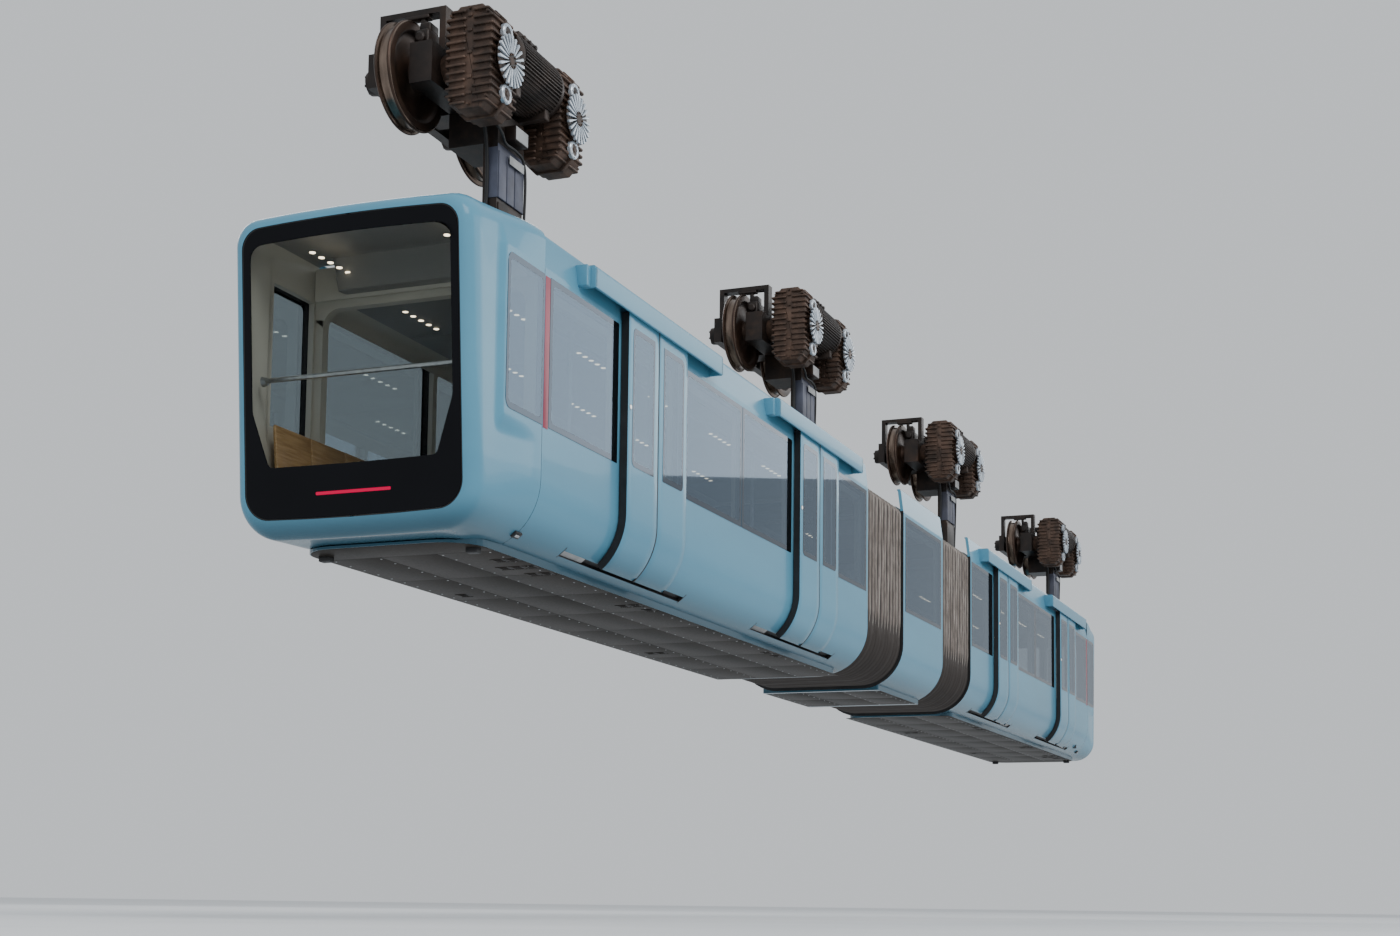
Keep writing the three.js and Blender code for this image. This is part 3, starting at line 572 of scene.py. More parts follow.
def bodyProfile(drawn=0.0):
    # bottom, lower curve, the wall, and the parapet that leans in
    wall = body["halfWidth"] - drawn
    curve = onArc(body["arcRadius"] - drawn, arcDegrees)
    levels = [-2.65, body["sill"], -1.8, body["lintel"], body["head"]]
    side = np.array([(wall, z) for z in levels])
    top, foot = body["topZ"], body["footZ"]
    inner = wall - body["lean"]
    fold = [(wall, foot), (wall - 0.003, foot + 0.02), (inner + 0.002, top - 0.03)]
    fold += [(inner - 0.004, top - 0.01 - 0.1 * drawn), (inner - 0.014, top - 0.3 * drawn)]
    fold += [(1.017, top - 0.3 * drawn)]
    right = np.vstack([[(0, body["bottomZ"] + drawn), (0.3, body["bottomZ"] + drawn)], curve, side, fold])
    return mirrorOutline(right)


def carried(profile, distances):
    # a profile in X and Z set at each distance along the car
    rows = np.broadcast_to(profile, (len(distances), *profile.shape))
    along = np.broadcast_to(distances[:, None], rows.shape[:2])
    return np.stack([rows[..., 0], along, rows[..., 1]], -1)


windows = {
    "door": [(1.075, 2.335), (3.88, 5.305), (5.365, 6.79), (8.28, 9.47)],
    "plain": [(1.075, 2.9), (2.97, 4.8), (4.87, 6.7), (6.77, 9.47)],
    "overlap": 0.0247,
    "doorway": 0.62,
    "slot": 1.285,
}


def cellMiddles(profile, distances):
    # the middles of a grid's cells: distance, x and z, each as an array over the grid
    middle = (profile[1:] + profile[:-1]) / 2
    along = (distances[1:] + distances[:-1]) / 2
    shape = (len(along), len(middle))
    return [np.broadcast_to(a, shape) for a in (along[:, None], middle[:, 0], middle[:, 1])]


def withinAny(value, spans):
    # True where a value lies in one of the spans
    return np.any([(value > low) & (value < high) for low, high in spans], axis=0)


def wallCells(profile, distances, doorSide, plainSide, doorways=(), slots=()):
    # True where the wall is closed: no window, no doorway and no slot for the leaves' feet
    along, x, z = cellMiddles(profile, distances)
    inWindow = (z > body["sill"]) & (z < body["lintel"])
    hole = inWindow & (x > 0.9) & withinAny(along, doorSide)
    hole |= inWindow & (x < -0.9) & withinAny(along, plainSide)
    foot = onArc(body["arcRadius"], slotDegrees)[:, 1]
    if len(doorways):
        hole |= (z > foot[1]) & (z < body["head"]) & (x > 0.8) & withinAny(along, doorways)
    if len(slots):
        hole |= (z > foot[0]) & (z < foot[1]) & (x > 0.7) & withinAny(along, slots)
    return ~hole


doorways = [(c - windows["doorway"], c + windows["doorway"]) for c in doorCentres]
slots = [(c - windows["slot"], c + windows["slot"]) for c in doorCentres]
marks = np.ravel(windows["door"] + windows["plain"] + doorways + slots)
distances = np.unique(np.round(np.concatenate([marks, [car["joint"], car["section"]]]), 4))


cabin = {"half": 1.0, "ceiling": -1.25, "cove": 0.15, "curve": 0.44, "panel": 0.045, "lintel": 0.1}


def cabinProfile(drawn=0.0):
    # the lining: up from the floor's edge, round the cove, across the ceiling
    wall, ceiling, cove = cabin["half"] + drawn, cabin["ceiling"] + drawn, cabin["cove"]
    curve = onArc(cabin["curve"] + drawn, [-69, -60, -50, -40, -30, -20, -10, 0])
    side = np.array([(wall, z) for z in (-2.65, body["sill"], -1.8, body["lintel"] - 0.14)])
    turn = np.radians(np.linspace(0, 90, 6))
    bend = np.stack([wall - cove + cove * np.cos(turn), ceiling - cove + cove * np.sin(turn)], 1)
    right = np.vstack([curve, side, bend, [(0.4, ceiling), (0, ceiling)]])
    return np.vstack([right, right[-2::-1] * [-1, 1]])


def liningCells(profile, distances, doorSide, plainSide, doorways=()):
    # True where the lining is closed; its openings end a little under the skin's lintel
    along, x, z = cellMiddles(profile, distances)
    top = body["lintel"] - cabin["lintel"]
    inWindow = (z > body["sill"]) & (z < top) & (np.abs(x) > 0.9)
    hole = inWindow & ((x > 0) & withinAny(along, doorSide) | (x < 0) & withinAny(along, plainSide))
    if len(doorways):
        hole |= (z > -3.25) & (z < top) & (x > 0.75) & withinAny(along, doorways)
    return ~hole


# One door header: an angle of sheet over the leaves' rollers, its ends closed, with a small stop at
# the end nearer the car's end.
header = {
    "half": 1.43,
    "bottom": -1.155,
    "top": -0.965,
    "outer": 1.222,
    "inner": 1.04,
    "sheet": 0.02,
    "cap": 0.026,
    "bevel": 0.006,
    "stop": 0.075,
}


def doorHeader(centre):
    outer, inner, sheet = header["outer"], header["inner"], header["sheet"]
    bottom, top, cap = header["bottom"], header["top"], header["cap"]
    corners = [(outer - sheet, bottom, 0.002), (outer, bottom, 0.008), (outer, top, 0.03)]
    corners += [(inner, top, 0.002), (inner, top - sheet, 0.002), (outer - sheet, top - sheet, 0.012)]
    low, high = centre - header["half"], centre + header["half"]
    angle = slab(roundedOutline(corners), 1, low + 0.01, high - 0.01, 0.0)
    corners = [(inner + 0.05, bottom, 0.004), (outer, bottom, 0.012), (outer, top, 0.03), (inner, top, 0.01)]
    caps = [slab(roundedOutline(corners), 1, y, y + cap, header["bevel"]) for y in (low, high - cap)]
    stop = (low - header["stop"], low + 0.004)
    stop = block((inner + 0.03, outer - 0.046), stop, (bottom + 0.002, top - 0.012), 0.008)
    return putTogether(angle, *caps, stop)


roof = {"deck": -1.155, "ductX": 0.93, "ductHeight": 0.05}


def sectionSkin(profile, distances, keep):
    # paint outside and on the parapets, rubber on every cut edge lower down
    inner = bodyProfile(body["thickness"])
    points, faces, _ = wallShell(carried(profile, distances), carried(inner, distances), keep)
    outside, inside, rims = faces
    above = [points[group, 2].mean(1) > roof["deck"] for group in (inside, rims)]
    painted = np.vstack([outside, inside[above[0]], rims[above[1]]])
    return points, [painted, inside[~above[0]], rims[~above[1]]], [0, 1, 1]


outerSkin, cabinSkin = bodyProfile(), cabinProfile()
painted, lined = [bodyPaint, sealRubber], [liningPanel, sealRubber]


def makeSection(name, rows, openings, deckSpan, floorSpan, replaced, headers=(), end=0):
    # skin, lining, roof deck and floor; openings are door side and plain side windows, doorways, slots
    skin = sectionSkin(outerSkin, rows, wallCells(outerSkin, rows, *openings))
    keep = liningCells(cabinSkin, rows, *openings[:3])
    behind = carried(cabinProfile(cabin["panel"]), rows)
    deck = block((-1.02, 1.02), deckSpan, (-1.2, roof["deck"]), 0.004)
    floor = block((-0.74, 0.74), floorSpan, (-3.31, -3.288), 0.004)
    pieces = [
        ("skin", skin, painted, "body_paint", *replaced),
        *headers,
        ("lining", wallShell(behind, carried(cabinSkin, rows), keep, (1, 0, 0)), lined, "body_paint"),
        ("roof_deck", deck, roofSheet, "body_paint"),
        ("floor", floor, floorRubber, "tray_paint"),
    ]
    makeSet(name, f"{name}_section", pieces, end)


headers = ("door_headers", putTogether(*[doorHeader(c) for c in doorCentres]), bodyPaint, "body_paint")
openings = [windows["door"], windows["plain"], doorways, slots]
for name, end in ends:
    shells = [f"{name}_body_shell", f"{name}_door_side_wall"]
    makeSection(name, distances, openings, (0.955, 9.555), (0.12, 9.55), shells, [headers], end)

half, pillar = car["middleHalf"], 0.115
middleHole = [(-half + pillar, half - pillar)]
middleRows = np.array([-half, *middleHole[0], half])
deckSpan = (-half + 0.005, half - 0.005)
makeSection("middle", middleRows, [middleHole] * 2, deckSpan, (-half, half), ["middle_body_shell"])
print("sections built")


# The end module: rings from the leaning face to the joint. Its edge is a quarter ellipse, its lean
# fades out by the side window, and a low plateau carries that window flush with the ones behind.
module = {
    "edge": 0.13,
    "face": (0.948, -3.264, -1.0),
    "body": (1.052, -3.398, -0.89),
    "joint": (1.1, -3.415, -0.855),
    "lowRadius": (0.205, 0.33, 0.54),
    "topRadius": (0.155, 0.19, 0.12),
    "lean": 0.081,
    "leanFoot": -3.284,
    "leanEnds": 0.33,
    "bowTop": 0.028,
    "bowBottom": 0.02,
    "bowHalf": 0.93,
    "bowSpan": (-3.2, 2.1),
    "plateau": {"from": 0.285, "bottom": -2.575, "top": -1.16, "front": 0.075, "below": 0.11},
    "window": {"from": 0.351, "to": 0.925},
    "dip": {"from": 0.76, "half": 0.75, "slope": 0.05, "level": -1.13},  # the hanger's foot swings over it
}


def moduleMeasures(distance):
    # half width, bottom, top and the two corner radii at a distance behind the face
    bend = np.sqrt(np.clip(1 - (1 - np.clip(distance / module["edge"], 0, 1)) ** 2, 0, 1))
    far = ease((distance - 0.04) / 0.9)
    pairs = zip(module["face"], module["body"], module["joint"])
    sizes = [f + (b - f) * bend + (j - b) * far for f, b, j in pairs]
    for f, b, j in (module["lowRadius"], module["topRadius"]):
        sizes.append(f + (b - f) * bend + (j - b) * far)
    return sizes


def leaned(points, share=None):
    # leans the points over the end, the top further out than the foot, and bows the face across
    share = 1 - ease(points[..., 1] / module["leanEnds"]) if share is None else share
    rise = points[..., 2] - module["leanFoot"]
    edge = 1 - (points[..., 0] / module["bowHalf"]) ** 2
    start, span = module["bowSpan"]
    height = np.clip((points[..., 2] - start) / span, 0, 1)
    bow = share * edge * (height * module["bowTop"] - (1 - height) * module["bowBottom"])
    bow -= share * height * module["bowTop"] * 0.9
    y = points[..., 1] - share * module["lean"] * (rise + bow)
    return np.stack([points[..., 0], y, points[..., 2] + bow], -1)


moduleLevels = [-2.8, -2.74, -2.7, -2.665, -2.635, -2.605, -2.575, -2.54, -2.5, -2.46, body["sill"], -2.1]
moduleLevels += [-1.7, body["lintel"], -1.24, -1.21, -1.185]


def moduleRings(distances, drawn=0.0, raised=True):
    # the right half of each ring: bottom, low arc, wall levels, high arc, top; then its mirror image
    half, bottom, top, low, high = [m[:, None] for m in moduleMeasures(distances)]
    half, bottom, top = half - drawn, bottom + drawn, top - drawn
    low, high = low - 0.6 * drawn, high - 0.6 * drawn
    ones = np.ones_like(half)
    lowArc, highArc = np.radians(np.linspace(-90, 0, 13)), np.radians(np.linspace(0, 90, 9))
    flat = np.array([0, 0.5])
    x = [flat * (half - low), half - low + low * np.cos(lowArc), half * np.ones(len(moduleLevels))]
    across = np.linspace(1, 0, 41)[1:]
    x += [half - high + high * np.cos(highArc), (half - high) * across]
    z = [bottom * np.ones(2), bottom + low + low * np.sin(lowArc), ones * np.array(moduleLevels)]
    z += [top - high + high * np.sin(highArc), top * np.ones_like(across)]
    x, z = np.hstack(x), np.hstack(z)
    y = distances[:, None] * np.ones_like(x)
    if raised:
        shape = module["plateau"]
        inwards = [(y - shape["from"]) / shape["front"], (z - shape["bottom"]) / shape["below"]]
        inwards += [(shape["top"] - z) / shape["front"]]
        share = ease(inwards[0] + 0.5) * ease(inwards[1] + 0.5) * ease(inwards[2] + 0.5)
        step = np.clip(body["halfWidth"] - drawn - half, 0, 1) * share
        x = x + step * ease((x / half - 0.9) / 0.09)
    sunk = module["dip"]
    dip = ease((y - sunk["from"]) / sunk["slope"]) * ease((sunk["half"] - np.abs(x)) / sunk["slope"])
    z = z - dip * np.clip(z - sunk["level"] + drawn, 0, None)
    right = leaned(np.stack([x, y, z], -1))
    left = right[:, -2:0:-1] * [-1, 1, 1]
    return np.concatenate([right, left], 1)


edgeTurn = np.linspace(0, np.pi / 2, 9)
moduleRows = [module["edge"] * (1 - np.cos(edgeTurn)), [0.17, 0.21, 0.235], np.arange(0.25, 0.325, 0.0125)]
moduleRows += [[0.335, 0.351, 0.4, 0.44], np.arange(0.465, 0.92, 0.02), [0.925, 0.9475]]
moduleRows = np.concatenate(moduleRows)


def moduleCells(rings, rows, span, lintel=0.0):
    # closed cells: all but those of the side windows
    middle = (rings[1:] + rings[:-1]) / 2
    ahead = np.roll(middle, -1, 1)
    z, x = (middle[..., 2] + ahead[..., 2]) / 2, (middle[..., 0] + ahead[..., 0]) / 2
    row = ((rows[1:] + rows[:-1]) / 2)[:, None]
    inside = (row > span[0]) & (row < span[1]) & (z > body["sill"]) & (z < body["lintel"] - lintel)
    return ~(inside & (np.abs(x) > 0.9))


window = (module["window"]["from"], module["window"]["to"])
outerRings, innerRings = moduleRings(moduleRows), moduleRings(np.maximum(moduleRows, 0.02), 0.04)
innerRings[0] = moduleRings(np.array([0.02]), 0.062)[0]  # the ledge that the end glass rests on
keep = moduleCells(outerRings, moduleRows, window)
moduleShell = wallShell(outerRings, innerRings, keep, (0, 1, 1), wrap=True)
liningRows = moduleRows[moduleRows > 0.03]
liningOuter, liningInner = moduleRings(liningRows, 0.05), moduleRings(liningRows, 0.1)
keep = moduleCells(liningOuter, liningRows, window)
column = np.arange(liningInner.shape[1])
overhead = np.minimum(column, len(column) - 1 - column) > 36  # the cells above the side panels
moduleLining = putTogether(
    wallShell(liningOuter, liningInner, keep & ~overhead, (1, 0, 0), wrap=True),
    wallShell(liningOuter, liningInner, keep & overhead, (1, 2, 2), wrap=True),
)


def bulkheadOutline(half, bottom, top, sunk, radius):
    # a plate across the car, lower in the middle where the hanger's foot swings over it
    notch = module["dip"]["half"] - 0.03
    low, high = [(-half, bottom, radius), (half, bottom, radius)], [(half, top, radius), (notch, top, 0.01)]
    middle = [(notch, sunk, 0.01), (-notch, sunk, 0.01)]
    return roundedOutline(low + high + middle + [(-notch, top, 0.01), (-half, top, radius)])


bulkhead = slab(bulkheadOutline(1.05, -1.24, -0.99, -1.14, 0.05), 1, 0.93, 0.949, 0.004)
bulkheadFace = slab(bulkheadOutline(0.99, -1.262, -0.985, -1.145, 0.02), 1, 0.912, 0.929, 0.004)
moduleShell, moduleLining = putTogether(moduleShell, bulkhead), putTogether(moduleLining, bulkheadFace)
for name, end in ends:
    skin = ("module_skin", moduleShell, painted, "body_paint", f"{name}_end_module")
    makeSet(name, f"{name}_section", [skin], end, 40)
    lining = ("module_lining", moduleLining, [*lined, ceilingPanel], "body_paint")
    makeSet(name, f"{name}_section", [lining], end)
print("end modules built")


# Glass: what it lets through is a tinted Transparent shader, what it mirrors a smooth dark surface,
# and the mirror's share rises as (1 - cos(angle))^5 from either side. A pane has two faces, so each
# gives half of the effect.
def glazing(name, tint, solid, mirror, metal):
    made, tree, shader, place = newMaterial(name)
    shader.inputs["Base Color"].default_value = toLinear(mirror)
    shader.inputs["Metallic"].default_value = metal
    film = addNode(tree, "ShaderNodeTexNoise", {"Vector": place, "Scale": 1.2, "Detail": 3.0})
    wiped = {"Value": film.outputs["Fac"], "To Min": 0.01, "To Max": 0.03}
    gloss = addNode(tree, "ShaderNodeMapRange", wiped)
    tree.links.new(gloss.outputs["Result"], shader.inputs["Roughness"])
    facing = addNode(tree, "ShaderNodeLayerWeight", {"Blend": 0.5}).outputs["Facing"]
    edge = addNode(tree, "ShaderNodeMath", {0: facing, 1: 5.0}, operation="POWER").outputs["Value"]
    share = addNode(tree, "ShaderNodeMapRange", {"Value": edge, "To Min": solid, "To Max": 1.0})
    through = addNode(tree, "ShaderNodeBsdfTransparent", {"Color": tint})
    mixed = addNode(
        tree,
        "ShaderNodeMixShader",
        {0: share.outputs["Result"], 1: through.outputs["BSDF"], 2: shader.outputs["BSDF"]},
    )
    output = next(node for node in tree.nodes if node.type == "OUTPUT_MATERIAL")
    tree.links.new(mixed.outputs["Shader"], output.inputs["Surface"])
    return made


# Clear laminated glass of the car's ends, faintly grey.
laminatedGlass = glazing("laminatedGlass", "#F2F4F3", 0.03, "#0A0C0F", 0.0)

# Body-tinted toughened glass along the sides: a thin metal coating mirrors the surroundings bluish.
tintedGlass = glazing("tintedToughenedGlass", "#D3DADE", 0.32, "#7F92A4", 1.0)

# The side panes' fired border under the same coating: dark blue grey, as glossy as the glass.
coatedFrit = weathered(
    "coatedFrit", light="#3E4B58", dark="#384552", patch=0.8, grain=0.02, rough=(0.02, 0.05),
    relief=0.0001, strength=0.02, metal=1.0,
)

# Coloured vinyl film on the pillar behind the end window: dusty pink, satin.
pillarFilm = weathered(
    "vinylFilm", light="#9E4255", dark="#923B4D", patch=0.4, grain=0.01, rough=(0.2, 0.3),
    relief=0.0002, strength=0.05, ior=1.25,
)


def lens(name, colour, base, strength):
    # a moulded lens with light behind it, its brightness varying through a fine prism pattern
    made, tree, shader, place = newMaterial(name)
    prism = addNode(tree, "ShaderNodeTexWave", {"Vector": place, "Scale": 60.0, "Distortion": 0.0})
    level = addNode(
        tree,
        "ShaderNodeMapRange",
        {"Value": prism.outputs["Fac"], "To Min": 0.75 * strength, "To Max": strength},
    )
    shader.inputs["Base Color"].default_value = toLinear(base)
    shader.inputs["Emission Color"].default_value = toLinear(colour)
    tree.links.new(level.outputs["Result"], shader.inputs["Emission Strength"])
    shader.inputs["Roughness"].default_value = 0.25
    shader.inputs["IOR"].default_value = 1.2
    return made


redLens = lens("redAcrylicLens", "#E4004C", "#3C0014", 1.0)
whiteLens = lens("opalAcrylicLens", "#F4F1EA", "#F4F1EA", 1.2)
ceilingLens = lens("downlightLens", "#FFEBCB", "#FFEBCB", 5.0)


# A pane: frit all round, glass within an inner outline of as many points.
def paneOf(outer, inner, axis, low, high, bevel=0.0015):
    rings = [inner, outer, outer, drawnIn(outer, bevel), inner]
    return stacked(rings, [low, low, high - bevel, high, high], axis, [0, 1, 1])


def leanedOver(shape):
    # a shape on the end face, leaned as far as the face
    return leaned(shape[0], 1), shape[1], shape[2]


pane = {
    "bottom": -2.4497,
    "top": -1.2413,
    "inside": 1.1003,
    "outside": 1.1035,
    "corner": 0.012,
    "frit": 0.05,
    "fritCorner": 0.045,
}


def sidePane(low, high, outside=pane["outside"], inside=pane["inside"], corners=None, frit=None):
    # corners are the radii low-bottom, high-bottom, high-top, low-top; frit is its width at low and high
    corners = corners or [pane["corner"]] * 4
    frit = frit or [pane["frit"]] * 2
    bottom, top = pane["bottom"], pane["top"]
    spots = [(low, bottom), (high, bottom), (high, top), (low, top)]
    outer = roundedOutline([(y, z, r) for (y, z), r in zip(spots, corners)])
    bottom, top = bottom + pane["frit"], top - pane["frit"]
    inner = rectangle(low + frit[0], high - frit[1], bottom, top, pane["fritCorner"], 5)
    return paneOf(outer, inner, 0, inside, outside)


overlap = windows["overlap"]
doorSidePanes = [sidePane(low - overlap, high + overlap) for low, high in windows["door"]]
plainSidePanes = [sidePane(low - overlap, high + overlap) for low, high in windows["plain"]]
modulePane = sidePane(0.33, 0.95, corners=[0.075, 0.008, 0.008, 0.075], frit=(0.04, 0.03))
stripe = slab(rectangle(0.9615, 1.0465, -2.465, -1.25, 0.003), 0, 1.1, 1.1025, 0.001)

# The end glass: four corners outside, six within, because the glass narrows towards the foot.
endGlass = {"half": 0.934, "bottom": -3.251, "top": -1.011, "low": 0.19, "high": 0.15, "depth": 0.009}
clear = {"half": 0.874, "foot": 0.732, "shoulder": -2.427, "bottom": -2.86, "top": -1.135}
half, bottom, top = endGlass["half"], endGlass["bottom"], endGlass["top"]
outer = [(-half, bottom, endGlass["low"]), (half, bottom, endGlass["low"])]
outer += [(half, top, endGlass["high"]), (-half, top, endGlass["high"])]
half, bottom, top, shoulder = clear["half"], clear["bottom"], clear["top"], clear["shoulder"]
inner = [(-clear["foot"], bottom, 0.045), (clear["foot"], bottom, 0.045), (half, shoulder, 0.08)]
inner += [(half, top, 0.1), (-half, top, 0.1), (-half, shoulder, 0.08)]
outer, inner = resampled(roundedOutline(outer, 8), 240), resampled(roundedOutline(inner), 240)
depth = endGlass["depth"]
windscreen = leanedOver(paneOf(outer, inner, 1, 0.0, depth, 0.003))
loop = drawnIn(outer, -0.007)
loop = loop[np.hypot(*(loop - np.roll(loop, 1, 0)).T) > 1e-6]
loop = leaned(np.stack([loop[:, 0], np.full(len(loop), depth), loop[:, 1]], 1), 1)
gasket = tube(loop, 0.008, 8, closed=True)
lensBar = leanedOver(slab(rectangle(-0.311, 0.341, -3.087, -3.063, 0.008), 1, -0.003, 0.002, 0.001))

sideGlass, endPane = [coatedFrit, tintedGlass], [glassFrit, laminatedGlass]
doorSide = putTogether(modulePane, *doorSidePanes)
plainSide = mirrored(putTogether(modulePane, *plainSidePanes), 0)
films = putTogether(stripe, mirrored(stripe, 0))
for name, end in ends:
    pieces = [
        ("glass_door_side", doorSide, sideGlass, "tinted_glass", f"{name}_windows_door_side"),
        ("glass_plain_side", plainSide, sideGlass, "tinted_glass", f"{name}_windows_plain_side"),
        ("end_glass", windscreen, endPane, "black_glass", f"{name}_end_window"),
        ("end_gasket", gasket, sealRubber, "black_glass"),
        ("light_strip", lensBar, redLens if end < 0 else whiteLens, "black_glass"),
        ("pillar_film", films, pillarFilm, "body_paint"),
    ]
    makeSet(name, f"{name}_section", pieces, end)

middlePane = sidePane(-car["middleHalf"] + 0.09, car["middleHalf"] - 0.09)
pieces = [
    ("glass_door_side", middlePane, sideGlass, "tinted_glass", "middle_window_door_side"),
    ("glass_plain_side", mirrored(middlePane, 0), sideGlass, "tinted_glass", "middle_window_plain_side"),
]
makeSet("middle", "middle_section", pieces)
print("glass set")

# Door leaves: skins that follow the body 80 mm outside it, with rubber edges.
leaf = {"outer": 0.62, "thickness": 0.042, "top": -1.13, "window": (0.12, 0.55), "glass": (0.1, 0.57)}


def leafProfile(drawn=0.0):
    # the lower curve from its slot up, then the wall
    curve = onArc(leaf["outer"] - drawn, np.linspace(slotDegrees[1], 0, 11))
    levels = (-2.65, body["sill"], -1.8, body["lintel"], -1.2, leaf["top"])
    return np.vstack([curve, [(curve[-1, 0], z) for z in levels]])


leafRows = np.array([0.008, 0.015, *leaf["window"], 0.65, 0.656])
outer, inner = carried(leafProfile(), leafRows), carried(leafProfile(leaf["thickness"]), leafRows)
outer[[0, -1], :, 0] -= 0.003  # the vertical edges turn in
outer[:, 0] = outer[:, 0] * 0.6 + inner[:, 0] * 0.4
along, _, z = cellMiddles(leafProfile(), leafRows)
hole = (z > body["sill"]) & (z < body["lintel"]) & withinAny(along, [leaf["window"]])
leafSkin = wallShell(outer, inner, ~hole, (0, 0, 1))


def leafStrip(low, high, front, back):
    # a strip of rubber up the leaf between two distances from the seam and two depths
    rows = np.array([low, high])
    solid = np.ones((1, len(leafProfile()) - 1), bool)
    return wallShell(carried(leafProfile(front), rows), carried(leafProfile(back), rows), solid)


strips = [(0.001, 0.0085, 0.001, 0.04), (0.63, 0.657, 0.041, 0.071), (0.6555, 0.6575, 0.004, 0.042)]
leafRubber = putTogether(*[leafStrip(*strip) for strip in strips])
leafPane = sidePane(*leaf["glass"], 1.1825, 1.1803, [0.012, 0.058, 0.058, 0.012], (0.035, 0.035))
buttonAt = (0, 0.612, -1.95)
button = turned([(1.178, 0.024), (1.184, 0.024), (1.187, 0.021), (1.187, 0.0165)], 0, buttonAt, 32)
buttonCap = turned([(1.18, 0.0163), (1.1855, 0.0163), (1.188, 0.012)], 0, buttonAt, 32)


def leafAt(shape, centre, side):
    # y in the shape is the distance from the seam; side -1 is the leaf nearer the car's end
    points = shape[0].copy()
    points[:, 1] = centre + side * points[:, 1]
    return points, [group[:, ::-1] if side < 0 else group for group in shape[1]], shape[2]


for name, end in ends:
    for number, centre in enumerate(doorCentres, 1):
        for letter, side in (("a", -1), ("b", 1)):
            towards = side * -end  # leaf a lies on the -Y side of the seam
            rides = f"{name}_door_{number}_leaf_{letter}"
            parts = [
                ("skin", leafSkin, painted, "body_paint", rides),
                ("rubber", leafRubber, sealRubber, "body_paint"),
                ("glass", leafPane, sideGlass, "tinted_glass"),
            ]
            if letter == "a":
                parts.append(("button_ring", button, handrailSteel, "body_paint"))
                parts.append(("button", buttonCap, whiteLens, "body_paint"))
            parts = [(part, leafAt(shape, centre, towards), *rest) for part, shape, *rest in parts]
            makeSet(rides, rides, parts, end)
print("doors hung")

# The bellows: a ring that follows the body 24 mm inside its skin. Its radius falls and rises with the
# pleats, by depth * (1 - sin(pi * share of the pleat)), so the crests are round and the valleys sharp;
# along the lower curve each pleat doubles, by depth * (1 - |sin(2 * pi * share)|).
bellows = {
    "from": 9.566,
    "to": 11.074,
    "inset": 0.024,
    "top": -1.142,
    "folds": 12,
    "steps": 12,
    "round": 132,
    "depth": 0.052,
    "sheet": 0.004,
    "trim": 0.0055,
}


def bellowsShapes():
    wide, low = body["halfWidth"] - bellows["inset"], body["bottomZ"] + bellows["inset"]
    curve, high = body["arcRadius"] - bellows["inset"], 0.1
    corners = [(-wide, low, curve), (wide, low, curve), (wide, bellows["top"], high)]
    ring = resampled(roundedOutline([*corners, (-wide, bellows["top"], high)], 16), bellows["round"])
    inwards = ring - drawnIn(ring, 1.0)
    folds, steps = bellows["folds"], bellows["steps"]
    place = np.arange(folds * steps + 1)[:, None] / steps
    sag = ease((-2.6 - ring[:, 1]) / 0.35)[None]
    turn = np.arange(bellows["round"])[None] / bellows["round"] * 2 * np.pi
    sway = 0.013 * np.sin(4 * turn + 1.9 * place) + 0.007 * np.sin(11 * turn + 4.1 * np.floor(place))
    sway = sway * np.sin(np.pi * np.clip(place / folds, 0, 1))
    pitch = (bellows["to"] - bellows["from"]) / folds
    along = bellows["from"] + place * pitch + sway
    along = np.clip(along, bellows["from"], bellows["to"])
    uneven = 1 + 0.14 * np.sin(2.7 * np.floor(place) + 3 * turn)
    single = (1 - np.sin(np.pi * (place % 1))) ** 0.8
    double = 0.7 * (1 - np.abs(np.sin(2 * np.pi * (place % 1))))
    fall = bellows["depth"] * uneven * (single * (1 - sag) + np.maximum(double, 0.6 * single) * sag)
    fall = np.where((place == 0) | (place == folds), 0.6 * bellows["depth"], np.minimum(fall, 0.056))

    def sheetAt(depth):
        flat = ring[None] - inwards[None] * depth[..., None]
        return np.stack([flat[..., 0], along, flat[..., 1]], -1)

    closed = np.ones((folds * steps, bellows["round"]), bool)
    fabric = wallShell(sheetAt(fall), sheetAt(fall + bellows["sheet"]), closed, (0, 0, 0), wrap=True)
    crest = np.arange(folds) * steps + steps // 2
    spine = sheetAt(fall - 0.001)[crest]
    outwards = np.concatenate([inwards[:, :1], 0 * inwards[:, :1], inwards[:, 1:]], 1)[None]
    outwards = -outwards / np.linalg.norm(outwards, axis=2, keepdims=True)
    angle = np.linspace(0, 2 * np.pi, 6, endpoint=False)
    bead = spine[:, :, None] - bellows["trim"] * np.cos(angle)[:, None] * outwards[:, :, None]
    bead[..., 1] += bellows["trim"] * np.sin(angle)
    loops = gridFaces(bellows["round"], 6, wrap=True, loop=True)
    shift = np.arange(folds)[:, None, None] * bellows["round"] * 6
    trims = bead.reshape(-1, 3), [(loops[None] + shift).reshape(-1, 4)[:, ::-1]], [0]
    # painted shade for the fabric: how deep each point lies in its fold, plus more on the lower curve
    grime = np.clip(fall / bellows["depth"], 0, 1) + 0.2 * sag
    return fabric, trims, np.tile(grime.ravel(), 2)


fabric, trims, grime = bellowsShapes()
for name, end in ends:
    for part, shape, finish in (("folds", fabric, bellowsFabric), ("fold_trims", trims, foldTrim)):
        replaced = [f"{name}_bellows"] if part == "folds" else []
        piece = makePiece(
            f"{name}_bellows_{part}", atEnd(shape, end), finish, None, replaced, 60
        )
        # the painted shade goes onto the folds as a point attribute
        if part == "folds":
            shade = piece.data.attributes.new("grime", "FLOAT", "POINT")
            shade.data.foreach_set("value", grime.astype(np.float32))
        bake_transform(piece)
print("bellows folded")

